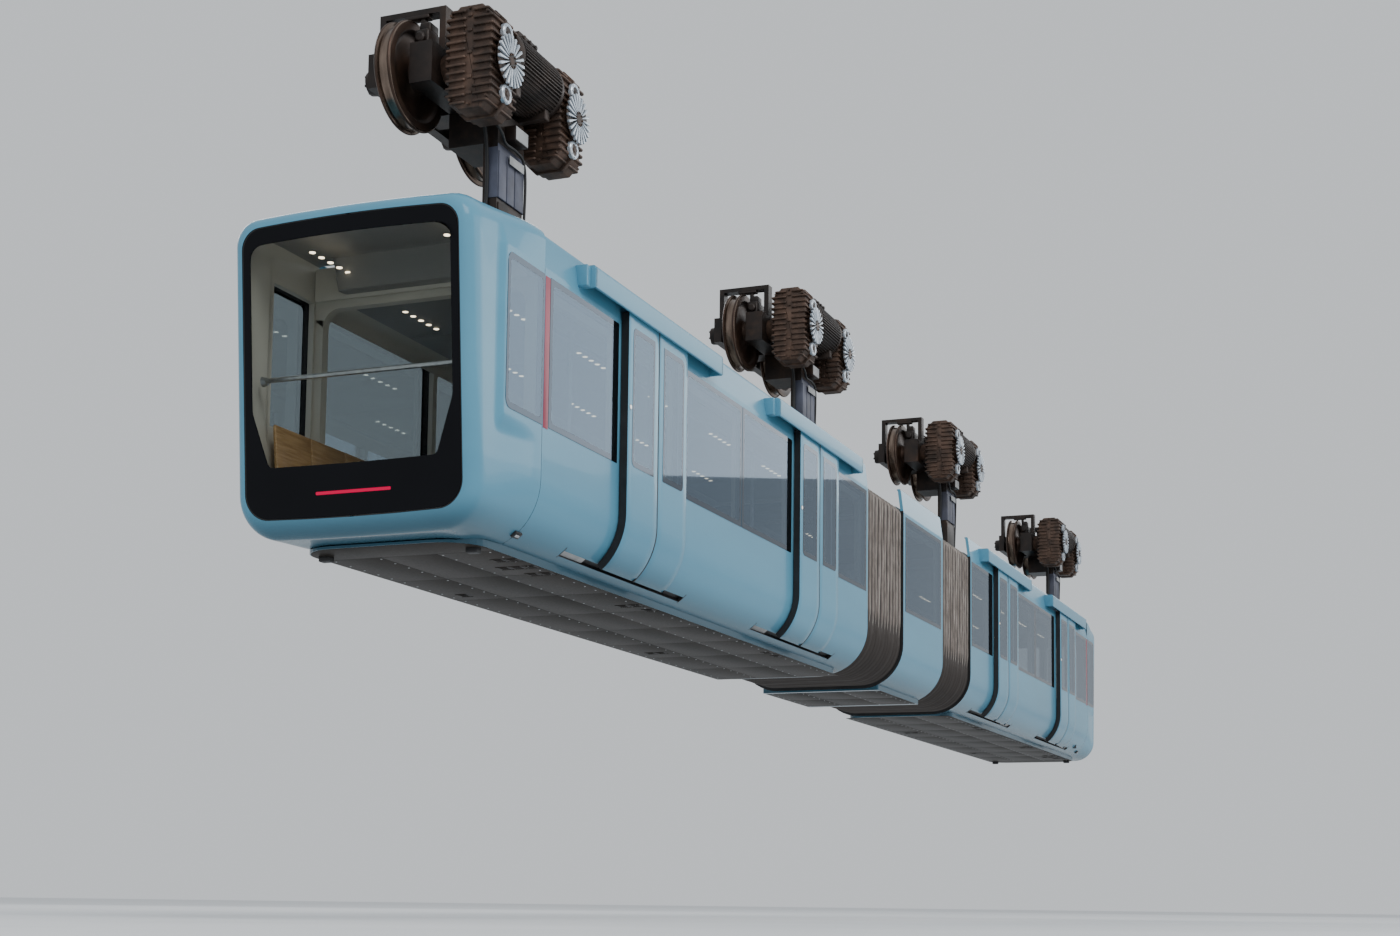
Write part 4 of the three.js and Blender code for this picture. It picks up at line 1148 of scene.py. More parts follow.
# Under the floor: the tray's cover plates, their screws, the vents and the two rubber stops.
under = {
    "level": -3.437,
    "plate": 0.0022,
    "columns": [(-0.764, -0.254), (-0.251, 0.251), (0.254, 0.764)],
    "starts": np.arange(0.84, 8.7, 1.082),
    "length": 1.079,
    "screwColumns": (-0.698, -0.28, 0.28, 0.698),
    "screwPitch": 0.216,
}


def coverPlate(outline):
    level = under["level"]
    return slab(outline, 2, level - under["plate"], level + 0.001, 0.0012)


def underPlates(starts, length):
    row = [coverPlate(rectangle(low, high, 0, length, 0.012)) for low, high in under["columns"]]
    return putTogether(*[inLine(plate, [(0, start, 0) for start in starts]) for plate in row])


def underScrews(low, high):
    level = under["level"]
    head = [(level - 0.0055, 0.005), (level - 0.003, 0.009), (level + 0.001, 0.009)]
    along = np.arange(low, high, under["screwPitch"])
    spots = [(x, y, 0) for x in under["screwColumns"] for y in along]
    return inLine(turned(head, 2, (0, 0, 0), 10), spots)


def vent():
    # one opening with cross blades under a thin rim; the opening is a dark plate, painted shade of the hole
    # behind
    level = under["level"]
    dark = block((0, 0.1), (0, 0.12), (level - 0.0028, level), 0.001, 1)
    blades = block((0.002, 0.008), (0, 0.12), (level - 0.007, level - 0.002), 0.001, 0)
    blades = inLine(blades, [(shift, 0, 0) for shift in np.arange(0.016, 0.09, 0.019)])
    rim = block((-0.006, 0.106), (-0.006, 0), (level - 0.006, level), 0.002, 0)
    return putTogether(dark, blades, rim, moved(rim, y=0.126))


# the nose plate has the tray's round corners; the vents stand in short rows
under["vents"] = [(x, y) for y, row in ((1.2, (0.54, 0.66)), (1.54, (0.41, 0.53, 0.65))) for x in row]
under["vents"] += [(0.5, 1.88), (0.63, 1.88), (0.63, 3.7), (0.5, 3.7), (0.63, 4.0), (-0.6, 2.7), (-0.6, 6.9)]
under["vents"] += [(-0.48, 6.9), (0.63, 7.2), (0.63, 7.5)]
nose = [(-0.764, 0.404, 0.32), (0.764, 0.404, 0.32), (0.764, 0.837, 0.01), (-0.764, 0.837, 0.01)]
plates = putTogether(coverPlate(roundedOutline(nose, 8)), underPlates(under["starts"], under["length"]))
screws = underScrews(0.9, 9.45)
vents = inLine(vent(), [(x, y, 0) for x, y in under["vents"]])
stop = block((0.61, 0.71), (0.655, 0.735), (-3.48, -3.432), 0.01)
stops = putTogether(stop, mirrored(stop, 0))
for name, end in ends:
    section = f"{name}_section"
    makePiece(f"{name}_tray_plates", atEnd(plates, end), trayCoatInShade, section)
    makePiece(f"{name}_tray_screws", atEnd(screws, end), handrailSteel, section)
    makePiece(f"{name}_tray_vents", atEnd(vents, end), [trayCoatInShade, sealRubber], section)
    makePiece(f"{name}_stops", atEnd(stops, end), sealRubber, section)
    bpy.data.objects[f"{name}_underfloor_tray"].material_slots[0].material = bodyPaint
middlePlates = putTogether(underPlates([-0.82], 0.815), underPlates([0.005], 0.815))
makePiece("middle_tray_plates", middlePlates, trayCoatInShade, "middle_section")
makePiece("middle_tray_screws", underScrews(-0.76, 0.8), handrailSteel, "middle_section")
bpy.data.objects["middle_underfloor_tray"].material_slots[0].material = bodyPaint
print("underside fitted")

# The bogies. Shapes are drawn about the bogie's own centre line and then moved along the car.
wheel = {"axleZ": 0.4, "axleY": 0.61, "sides": 72}
wheelHalf = [
    (0.0, 0.3995), (0.03, 0.4), (0.037, 0.402), (0.041, 0.409), (0.047, 0.431), (0.053, 0.437),
    (0.062, 0.437), (0.071, 0.43), (0.075, 0.418), (0.075, 0.362), (0.068, 0.352), (0.05, 0.344),
    (0.034, 0.325), (0.028, 0.29), (0.028, 0.215), (0.04, 0.165), (0.06, 0.135), (0.1, 0.125),
    (0.118, 0.118), (0.122, 0.105), (0.122, 0.056),
]  # half of the double-flanged wheel: tread, flange, rim, web and hub
wheelHalf = np.array(wheelHalf)
wheelProfile = np.vstack([wheelHalf[:0:-1] * [-1, 1], wheelHalf])
axleLeft = [(-0.29, 0.047), (-0.286, 0.054), (-0.2, 0.055)]
axleRight = [(0.2, 0.055), (0.888, 0.055), (0.889, 0.195), (0.893, 0.2), (0.899, 0.2), (0.901, 0.195)]
axleRight += [(0.902, 0.075), (0.914, 0.072), (0.924, 0.06), (0.925, 0.03)]
wheelProfile = np.vstack([axleLeft, wheelProfile, axleRight])
wheelShape = turned(wheelProfile, 0, (0, 0, wheel["axleZ"]), wheel["sides"])
bands = wheelShape[1][0].reshape(len(wheelProfile) - 1, wheel["sides"], 4)
radius = (wheelProfile[1:, 1] + wheelProfile[:-1, 1]) / 2
finish = np.where((radius > 0.398) & (radius < 0.432), 1, np.where(wheelProfile[1:, 0] > 0.889, 2, 0))
bands = [bands[finish == tag].reshape(-1, 4) for tag in (0, 1, 2)]
wheelShape = (wheelShape[0], [*bands, *wheelShape[1][1:]], [0, 1, 2, 0, 0])

# The bladed disc on the axle's outer end: petals that widen outwards, with slots between them.
disc = {"blades": 22, "inner": 0.062, "outer": 0.207, "x": (0.9, 0.9245), "narrow": 0.0035, "wide": 0.0125}
z = wheel["axleZ"]
petal = [(-disc["narrow"], z + disc["inner"], 0.002), (disc["narrow"], z + disc["inner"], 0.002)]
petal += [(disc["wide"], z + disc["outer"], 0.008), (-disc["wide"], z + disc["outer"], 0.008)]
petal = slab(roundedOutline(petal, 3), 0, *disc["x"], 0.003)
blades = around(petal, 0, np.array([0, 0, z]), disc["blades"])
bolt = turned([(0.912, 0.0085), (0.93, 0.0085), (0.932, 0.006)], 0, (0, 0, z + 0.052), 6)
hubBolts = around(bolt, 0, np.array([0, 0, z]), 8)

# One gearbox: a core, ribs all round it, a split flange with bolts, covers over the shafts.
gearbox = {
    "x": (0.44, 0.86),
    "y": (0.4, 0.83),
    "z": (-0.03, 0.83),
    "chamfer": 0.09,
    "core": 0.022,
    "ribs": 13,
    "rib": 0.02,
}


def chamfered(x, z, cut, radius=0.012):
    (x0, x1), (z0, z1) = x, z
    spots = [(x0 + cut, z0), (x1 - cut, z0), (x1, z0 + cut), (x1, z1 - cut)]
    spots += [(x1 - cut, z1), (x0 + cut, z1), (x0, z1 - cut), (x0, z0 + cut)]
    return roundedOutline([(a, b, radius) for a, b in spots], 3)


def gearboxShape():
    (x0, x1), (y0, y1), (z0, z1) = gearbox["x"], gearbox["y"], gearbox["z"]
    inset, cut = gearbox["core"], gearbox["chamfer"]
    core = chamfered((x0 + inset, x1 - inset), (z0 + 0.01, z1 - 0.01), cut)
    core = slab(core, 1, y0 + inset, y1 - inset, 0.02)
    height = np.linspace(z0 + 0.05, z1 - 0.07, gearbox["ribs"])
    shapes = [core]
    for at in height:
        short = max(0.0, cut - (at - z0), cut - (z1 - at - gearbox["rib"]))
        width = (x0 + short, x1 - short)
        middle = (width[0] + width[1]) / 2
        for low, high in ((width[0], middle - 0.03), (middle + 0.03, width[1])):
            outline = rectangle(low, high, y0, y1, 0.02, 3)
            shapes.append(slab(outline, 2, at, at + gearbox["rib"], 0.006))
    flange = slab(chamfered((x0 - 0.004, x1 + 0.004), (z0 - 0.004, z1 + 0.004), cut), 1, 0.596, 0.63, 0.004)
    lugs = block((0.628, 0.672), (y0 + 0.008, y1 - 0.008), (0, 0.03), 0.008)
    lugs = inLine(lugs, [(0, 0, at) for at in (0.09, 0.22, 0.42, 0.6, 0.72)])
    spots = [(0.49, 0.06), (0.49, 0.74), (0.81, 0.06), (0.81, 0.74), (0.65, 0.79), (0.65, 0.012)]
    bolts = turned([(y0 - 0.004, 0.011), (y0 + 0.04, 0.013)], 1, (0, 0, 0), 6)
    farBolts = turned([(y1 - 0.04, 0.013), (y1 + 0.004, 0.011)], 1, (0, 0, 0), 6)
    bolts = inLine(putTogether(bolts, farBolts), [(x, 0, z) for x, z in spots])
    shapes += [flange, lugs, bolts]
    sleeve = [(0.84, 0.15), (0.852, 0.15), (0.858, 0.128), (0.872, 0.124), (0.882, 0.11), (0.884, 0.07)]
    shapes.append(turned(sleeve, 0, (0, wheel["axleY"], wheel["axleZ"]), 40))
    toWheel = [(0.14, 0.08), (0.15, 0.1), (0.3, 0.105), (0.42, 0.15), (0.47, 0.16)]
    shapes.append(turned(toWheel, 0, (0, wheel["axleY"], wheel["axleZ"]), 40))
    return putTogether(*shapes)


def coverShape():
    # the pale ring covers above and below the disc, each with its bolts
    shapes = []
    for rise, size in ((0.23, 0.08), (-0.262, 0.078)):
        at = (0, wheel["axleY"], wheel["axleZ"] + rise)
        ring = [(0.85, size), (0.876, size), (0.884, size - 0.006), (0.884, size - 0.026)]
        ring.append((0.878, size - 0.03))
        inset = [(0.87, size - 0.022), (0.881, size - 0.03), (0.881, 0.024), (0.887, 0.016), (0.887, 0.004)]
        shapes += [turned(ring, 0, at, 40), turned(inset, 0, at, 32, 1)]
        boltAt = (at[0], at[1], at[2] + size - 0.014)
        bolt = turned([(0.876, 0.007), (0.889, 0.007), (0.89, 0.005)], 0, boltAt, 6)
        shapes.append(around(bolt, 0, np.array(at), 8))
    return putTogether(*shapes)


# The motor between the gearboxes: fins along it, an even number round, and smooth end bells.
motor = {"x": 0.64, "z": 0.565, "fins": 56, "root": 0.243, "tip": 0.262, "half": 0.33}


def motorShape():
    turn = np.arange(motor["fins"] * 4) / (motor["fins"] * 4) * 2 * np.pi
    wave = np.tile([0, 1, 1, 0], motor["fins"])
    radius = motor["root"] + (motor["tip"] - motor["root"]) * wave
    outline = np.stack([motor["x"] + radius * np.cos(turn), motor["z"] + radius * np.sin(turn)], 1)
    barrel = slab(outline, 1, -motor["half"], motor["half"], 0.0)
    bell = [(-0.405, 0.21), (-0.39, 0.245), (-0.37, 0.254), (-0.335, 0.256), (-0.328, 0.25)]
    near = turned(bell, 1, (motor["x"], 0, motor["z"]), 48)
    far = mirrored(near, 1)
    box = block((0.55, 0.74), (-0.16, 0.16), (0.78, 0.875), 0.012)
    feet = block((0.47, 0.8), (-0.3, -0.22), (0.27, 0.36), 0.01)
    glands = turned([(0.74, 0.022), (0.765, 0.022), (0.77, 0.014)], 0, (0, 0, 0.83), 12)
    glands = inLine(glands, [(0, y, 0) for y in (-0.1, 0.0, 0.1)])
    return putTogether(barrel, near, far, box, feet, mirrored(feet, 1), glands)


# Blue-grey covers on the door side of the hanger's post: three panels with gaps between them, bent
# edges round the post, a blank plate and the grey box above.
hanger = {"face": 0.6, "half": 0.222, "top": -0.13, "bottom": -0.52}
hanger["panels"] = [-0.222, -0.079, 0.058, 0.222]  # where the face is divided


def hangerCovers():
    x, half = hanger["face"], hanger["half"]
    shapes = []
    for low, high in zip(hanger["panels"][:-1], hanger["panels"][1:]):
        face = (hanger["bottom"], hanger["top"])
        shapes.append(block((x - 0.002, x + 0.016), (low + 0.008, high - 0.008), face, 0.006))
    back = block((x - 0.001, x + 0.004), (-half, half), (hanger["bottom"] + 0.01, -0.07), 0.002)
    edge = (hanger["bottom"], hanger["top"] + 0.03)
    edge = block((x - 0.09, x + 0.008), (half, half + 0.006), edge, 0.002)
    lower = block((x - 0.002, x + 0.01), (-half + 0.02, half - 0.02), (-0.9, hanger["bottom"] - 0.03), 0.005)
    return putTogether(*shapes, back, edge, mirrored(edge, 1), finished(lower, 1))


def hangerFittings():
    x = hanger["face"]
    sign = block((x + 0.034, x + 0.038), (-0.078, 0.174), (-0.2, -0.128), 0.0015)
    mount = block((x + 0.01, x + 0.036), (-0.03, 0.12), (-0.18, -0.15), 0.003)
    tray = block((x, x + 0.101), (-0.112, 0.112), (-0.017, 0.107), 0.01)
    lid = block((x + 0.1, x + 0.106), (-0.104, 0.104), (-0.01, 0.1), 0.003)
    return putTogether(sign, finished(mount, 1), finished(tray, 1), lid)


def hose(points, radius):
    # a smooth curve through a few points: Catmull-Rom between each pair
    points = np.asarray(points, float)
    ends = np.vstack([2 * points[0] - points[1], points, 2 * points[-1] - points[-2]])
    t = np.linspace(0, 1, 9)[:-1][None, :, None]
    a, b, c, d = (ends[k : len(ends) - 3 + k][:, None] for k in range(4))
    path = 0.5 * (2 * b + (c - a) * t + (2 * a - 5 * b + 4 * c - d) * t**2 + (3 * b - a - 3 * c + d) * t**3)
    return tube(np.vstack([path.reshape(-1, 3), points[-1:]]), radius, 10)


def frameFittings():
    # brake units beside the wheels, their rods and bolts along the beams
    shapes = []
    brake = putTogether(
        block((0.115, 0.25), (-0.76, -0.5), (0.57, 0.72), 0.02),
        block((0.13, 0.23), (-0.7, -0.56), (0.72, 0.8), 0.014),
        turned([(-0.8, 0.03), (-0.79, 0.045), (-0.75, 0.05)], 1, (0.185, 0, 0.64), 20),
        block((-0.02, 0.2), (-0.68, -0.6), (0.845, 0.878), 0.01),
        block((0.12, 0.16), (-0.665, -0.615), (0.79, 0.86), 0.006),
    )
    shapes += [brake, mirrored(brake, 1)]
    box = turned([(-0.36, 0.075), (-0.355, 0.095), (-0.315, 0.1), (-0.27, 0.1)], 0, (0, -0.61, 0.4), 28)
    head = turned([(-0.372, 0.012), (-0.355, 0.012)], 0, (0, -0.61, 0.4 + 0.072), 6)
    shapes += [box, around(head, 0, np.array([0, -0.61, 0.4]), 6)]
    shapes += [mirrored(box, 1), mirrored(around(head, 0, np.array([0, -0.61, 0.4]), 6), 1)]
    nut = turned([(0.225, 0.02), (0.245, 0.02), (0.248, 0.014)], 2, (0, 0, 0), 6)
    shapes.append(inLine(nut, [(x, y, 0) for x in (0.42, 0.49, 0.56) for y in (-0.17, 0.17)]))
    flange = turned([(-1.149, 0.2), (-1.146, 0.226), (-1.128, 0.226), (-1.124, 0.205)], 2, (0, 0, 0), 48)
    stud = turned([(-1.128, 0.014), (-1.106, 0.014), (-1.103, 0.01)], 2, (0.2, 0, 0), 6)
    # the hanger's foot: edge flanges, webs up the post's inner side and a row of bolts
    low, high, half = -1.09, -0.9, hanger["half"]
    for side in (-half, half):
        across = (side - 0.012, side + 0.012)
        shapes.append(block((-0.262, 0.602), across, (high - 0.012, high + 0.014), 0.004))
        shapes.append(block((-0.262, 0.602), (side - 0.012, side + 0.012), (low - 0.004, low + 0.02), 0.004))
    web = [(0.2, high - 0.004, 0.004), (0.472, high - 0.004, 0.004)]
    web += [(0.472, high + 0.26, 0.01), (0.44, high + 0.26, 0.01)]
    for y in (-0.15, 0.0, 0.15):
        shapes.append(slab(roundedOutline(web), 1, y - 0.008, y + 0.008, 0.002))
    head = turned([(high - 0.002, 0.02), (high + 0.016, 0.02), (high + 0.019, 0.013)], 2, (0, 0, 0), 6)
    shapes.append(inLine(head, [(x, y, 0) for x in (-0.2, -0.06, 0.08) for y in (-0.17, 0.17)]))
    return putTogether(*shapes, flange, around(stud, 2, np.zeros(3), 12))


def frameHoses():
    lines = [
        hose([(0.5, -0.3, 0.2), (0.64, -0.26, 0.02), (0.64, -0.16, -0.06), (0.64, 0.02, -0.06),
              (0.636, 0.16, -0.1), (0.62, 0.235, -0.3), (0.6, 0.24, -0.88)], 0.012),
        hose([(0.5, 0.3, 0.2), (0.56, 0.28, 0.0), (0.52, 0.245, -0.3), (0.5, 0.24, -0.88)], 0.015),
        hose([(0.48, -0.3, 0.2), (0.52, -0.27, -0.05), (0.52, -0.24, -0.4), (0.5, -0.24, -0.88)], 0.015),
        hose([(0.18, -0.5, 0.66), (0.3, -0.34, 0.72), (0.36, -0.1, 0.6), (0.34, 0.1, 0.6),
              (0.3, 0.34, 0.72), (0.18, 0.5, 0.66)], 0.01),
    ]
    return putTogether(*lines)


boxShape = gearboxShape()
boxes = putTogether(boxShape, mirrored(boxShape, 1))
covers = putTogether(coverShape(), mirrored(coverShape(), 1))
for name, end in ends:
    for number, distance in enumerate(bogieCentres, 1):
        bogie = f"{name}_bogie_{number}"
        y = end * (car["half"] - distance)
        parts = {
            "gearboxes": (boxes, gearboxIron, "gearbox_iron", [f"{bogie}_drive_unit"]),
            "motor": (motorShape(), motorIron, "gearbox_iron", []),
            "covers": (covers, [discSteel, bogieIron], "gearbox_iron", []),
            "fittings": (frameFittings(), bogieIron, "bogie_iron", []),
            "hoses": (frameHoses(), sealRubber, "bogie_iron", []),
            "post_covers": (hangerCovers(), [hangerEnamel, bogieIron], "bogie_iron", []),
            "post_fittings": (hangerFittings(), [boxCoat, bogieIron], "bogie_iron", []),
        }
        for part, (shape, finish, slotName, replaced) in parts.items():
            makePiece(f"{bogie}_{part}", moved(shape, y=y), finish, bogie, replaced, 30)
        bpy.data.objects[f"{bogie}_frame"].material_slots[0].material = bogieIron
        for letter, side in (("a", -1), ("b", 1)):
            rides = f"{bogie}_wheel_{letter}"
            at = y + side * wheel["axleY"]
            steels = [wheelSteel, treadSteel, bogieIron]
            makePiece(f"{rides}_steel", moved(wheelShape, y=at), steels, rides, [rides])
            makePiece(f"{rides}_disc", moved(blades, y=at), discSteel, rides)
            makePiece(f"{rides}_hub_bolts", moved(hubBolts, y=at), gearboxIron, rides)
print("bogies assembled")

# Small fittings outside: the catch on the end module's joint, the channel behind each slot with its
# pale guide, and the roof's ducts, mats and turntable rings.
slotTurn = np.linspace(-59, -46, 4)


def lowerStrip(radius, depth, low, high, tag):
    # a strip inside the lower curve on the door side, radius outside and radius - depth inside
    ring = [onArc(r, slotTurn) for r in (radius, radius - depth)]
    rows = np.array([low, high])
    return wallShell(carried(ring[0], rows), carried(ring[1], rows), np.ones((1, 3), bool), (tag, tag, tag))


def slotParts(centre):
    low, high = centre - windows["slot"], centre + windows["slot"]
    liner = lowerStrip(0.499, 0.01, low - 0.004, high + 0.004, 0)
    guide = lowerStrip(0.518, 0.018, low + 0.01, low + 0.46, 1)
    lips = [lowerStrip(0.5405, 0.03, y, y + 0.012, 0) for y in (low - 0.004, high - 0.008)]
    return putTogether(liner, guide, *lips)


turnedDown = np.radians(-52)
catchAt = np.insert(onArc(0.545, np.degrees(turnedDown)), 1, 0.95)
catchPlate = block((-0.012, 0.012), (-0.055, 0.055), (-0.03, 0.03), 0.005)
catchBar = block((0.008, 0.024), (-0.04, 0.02), (-0.011, 0.011), 0.004)


def onCurve(shape, tag):
    # tips a small fitting about Y so that it lies on the lower curve
    points = shape[0].copy()
    x, z = points[:, 0].copy(), points[:, 2].copy()
    points[:, 0] = x * np.cos(turnedDown) - z * np.sin(turnedDown)
    points[:, 2] = x * np.sin(turnedDown) + z * np.cos(turnedDown)
    return finished((points + catchAt, shape[1], shape[2]), tag)


catch = putTogether(onCurve(catchPlate, 1), onCurve(catchBar, 0))


def roofFittings(low, high, turntables):
    deck, x = roof["deck"], roof["ductX"]
    duct = block((x - 0.07, x + 0.06), (low + 0.02, high - 0.02), (deck, deck + roof["ductHeight"]), 0.012)
    seams = block((-0.84, 0.84), (0, 0.012), (deck, deck + 0.006), 0.002)
    seams = inLine(seams, [(0, y, 0) for y in np.arange(low + 0.3, high - 0.1, 0.9)])
    shapes = [duct, mirrored(duct, 0), seams]
    for y in turntables:
        ring = [(deck, 0.34), (deck + 0.01, 0.338), (deck + 0.012, 0.3), (deck + 0.006, 0.27), (deck, 0.262)]
        at = (0, y, 0)
        stud = [(deck + 0.008, 0.012), (deck + 0.024, 0.012), (deck + 0.027, 0.008)]
        stud = turned(stud, 2, (0.312, y, 0), 6)
        shapes += [turned(ring, 2, at, 64), around(stud, 2, np.array(at), 16)]
    return putTogether(*shapes)


def roofMats(spans):
    # ribbed walkway mats of rubber
    shapes = []
    for low, high in spans:
        mat = block((-0.3, 0.3), (low, high), (roof["deck"], roof["deck"] + 0.006), 0.002)
        rib = block((-0.28, 0.28), (0, 0.012), (roof["deck"] + 0.004, roof["deck"] + 0.011), 0.002)
        shapes += [mat, inLine(rib, [(0, y, 0) for y in np.arange(low + 0.02, high - 0.02, 0.045)])]
    return putTogether(*shapes)


# Seats: one moulded shell, about 30 mm thick, from the front lip over the pan and up the back.
seat = {"floor": -3.285, "benchTop": 0.84, "unitTop": 0.955, "gap": 0.008}


def seatShell(top, width, axis):
    # the outline holds depth from the back's rear face and height above the floor
    spots = [(0.41, 0.402, 0.01), (0.432, 0.425, 0.012), (0.428, 0.46, 0.014), (0.34, 0.462, 0.1)]
    spots += [(0.105, 0.438, 0.05), (0.06, 0.5, 0.08), (0.03, top - 0.012, 0.008), (0.018, top, 0.007)]
    spots += [(0.003, top - 0.012, 0.007), (0.03, 0.48, 0.09), (0.09, 0.404, 0.06), (0.34, 0.425, 0.1)]
    outline = roundedOutline(spots, 4) + [0, seat["floor"]]
    return slab(outline, axis, 0, width, 0.009)


def benchAlong(low, high):
    # seats side by side on the plain side, facing the aisle
    count = int(round((high - low) / 0.5))
    width = (high - low) / count - seat["gap"]
    shell = moved(seatShell(seat["benchTop"], width, 1), x=-0.905)
    starts = low + np.arange(count) * (high - low) / count
    return inLine(shell, [(0, y, 0) for y in starts])


def unitAcross(at, facing):
    shell = seatShell(seat["unitTop"], 0.4, 0)
    pair = inLine(finished(shell, 1), [(-0.893, 0, 0), (-0.484, 0, 0)])
    pair = pair if facing > 0 else mirrored(pair, 1)
    return moved(pair, y=at)


def seatMetal(spots, benches):
    # beams under the seats and a grab loop on each seat back by the aisle
    floor = seat["floor"]
    shapes = []
    for at, facing in spots:
        beam = block((-0.872, -0.16), (0.13, 0.26), (floor + 0.345, floor + 0.403), 0.012)
        loop = [(-0.1, 0.016, 0.8), (-0.055, 0.02, 0.83), (-0.045, 0.02, 0.92), (-0.07, 0.02, 0.985)]
        loop += [(-0.15, 0.016, 0.985), (-0.2, 0.014, 0.93)]
        loop = hose([(x, y, floor + z) for x, y, z in loop], 0.011)
        both = putTogether(beam, loop)
        shapes.append(moved(both if facing > 0 else mirrored(both, 1), y=at))
    for low, high in benches:
        shapes.append(block((-0.872, -0.56), (low + 0.1, high - 0.1), (floor + 0.36, floor + 0.403), 0.012))
    return putTogether(*shapes)


def plinthAlong(low, high):
    floor = seat["floor"]
    return block((-0.926, -0.871), (low, high), (floor + 0.18, floor + 0.43), 0.01)


# Handrails: the long tube under the ceiling, its posts with sockets and flanges.
rail = {"x": 0.64, "z": -1.34, "radius": 0.017, "from": 1.7, "to": 9.2, "posts": [2.38, 3.74, 6.86, 8.21]}


def railShape():
    x, z, r = rail["x"], rail["z"], rail["radius"]
    along = [(x, rail["from"], z + 0.088), (x, rail["from"], z + 0.03), (x, rail["from"] + 0.03, z)]
    along += [(x, rail["to"] - 0.03, z), (x, rail["to"], z + 0.03), (x, rail["to"], z + 0.088)]
    top = roundedPath(np.array(along), r)
    shapes = [top]
    socket = [(-0.045, r + 0.001), (-0.04, r + 0.005), (0.04, r + 0.005), (0.045, r + 0.001)]
    socket = turned(socket, 1, (x, 0, z), 20)
    flange = [(-3.286, 0.045), (-3.278, 0.045), (-3.27, 0.022), (-3.24, r + 0.001)]
    high = [(-1.3, r + 0.001), (-1.27, 0.022), (-1.262, 0.045), (-1.252, 0.045)]
    post = putTogether(
        tube([(x, 0, -3.28), (x, 0, -2.2), (x, 0, -1.255)], r, 20),
        turned(flange, 2, (x, 0, 0), 24),
        turned(high, 2, (x, 0, 0), 24),
        socket,
    )
    return putTogether(*shapes, inLine(post, [(0, y, 0) for y in rail["posts"]]))


def roundedPath(points, radius):
    # a tube whose corners are eased by extra points
    t = np.linspace(0, 1, 12)[:, None]
    first, last = points[1:4] if len(points) > 3 else points, points[-4:-1]
    corner = [points[1][0], points[1][1], points[2][2]]
    start = (1 - t) ** 2 * points[1] + 2 * t * (1 - t) * corner + t**2 * points[2]
    corner = [points[4][0], points[4][1], points[3][2]]
    end = (1 - t) ** 2 * points[3] + 2 * t * (1 - t) * corner + t**2 * points[4]
    return tube(np.vstack([points[:1], start, end, points[5:]]), radius, 20)


windowBar = {"z": -2.155, "depth": 0.0585, "half": 0.878, "radius": 0.019}
reach = windowBar["half"]
ends2 = [(-reach, 0.02), (-reach + 0.03, 0), (reach - 0.03, 0), (reach, 0.02)]
barPath = [(x, windowBar["depth"] + y, windowBar["z"]) for x, y in ends2]
barShape = tube(np.array(barPath), windowBar["radius"], 24)
cupAt = (0, windowBar["depth"] + 0.012, windowBar["z"])
barCups = turned([(0.84, 0.03), (0.862, 0.034), (0.88, 0.04)], 0, cupAt, 24)
barShape = putTogether(barShape, barCups, mirrored(barCups, 0))

# Ceiling: grey panels with narrow gaps and groups of small round lights.
ceiling = {"z": -1.2525, "half": 0.78, "lights": 5, "pitch": 0.13, "lens": 0.024}


def ceilingPanels(low, high):
    count = max(1, int(round((high - low) / 1.07)))
    size = (high - low) / count
    across, level = (-ceiling["half"], ceiling["half"]), (ceiling["z"] - 0.008, -1.2485)
    panel = block(across, (low + 0.003, low + size - 0.003), level, 0.003)
    return inLine(panel, [(0, size * k, 0) for k in range(count)])


def ceilingLights(starts, height, x=0.42):
    lens = [(height - 0.004, 0.017), (height - 0.001, ceiling["lens"]), (height + 0.004, ceiling["lens"])]
    lens = turned(lens, 2, (0, 0, 0), 20)
    along = [start + k * ceiling["pitch"] for start in starts for k in range(ceiling["lights"])]
    spots = [(side * x, y, 0) for side in (-1, 1) for y in along]
    return inLine(lens, spots)


def archAt(low, high, depth):
    # a cream frame that stands out from the lining all round
    rows = np.array([low, high])
    outside, inside = carried(cabinProfile(0.002), rows), carried(cabinProfile(-depth), rows)
    return wallShell(outside, inside, np.ones((1, outside.shape[1] - 1), bool), (0, 0, 0))


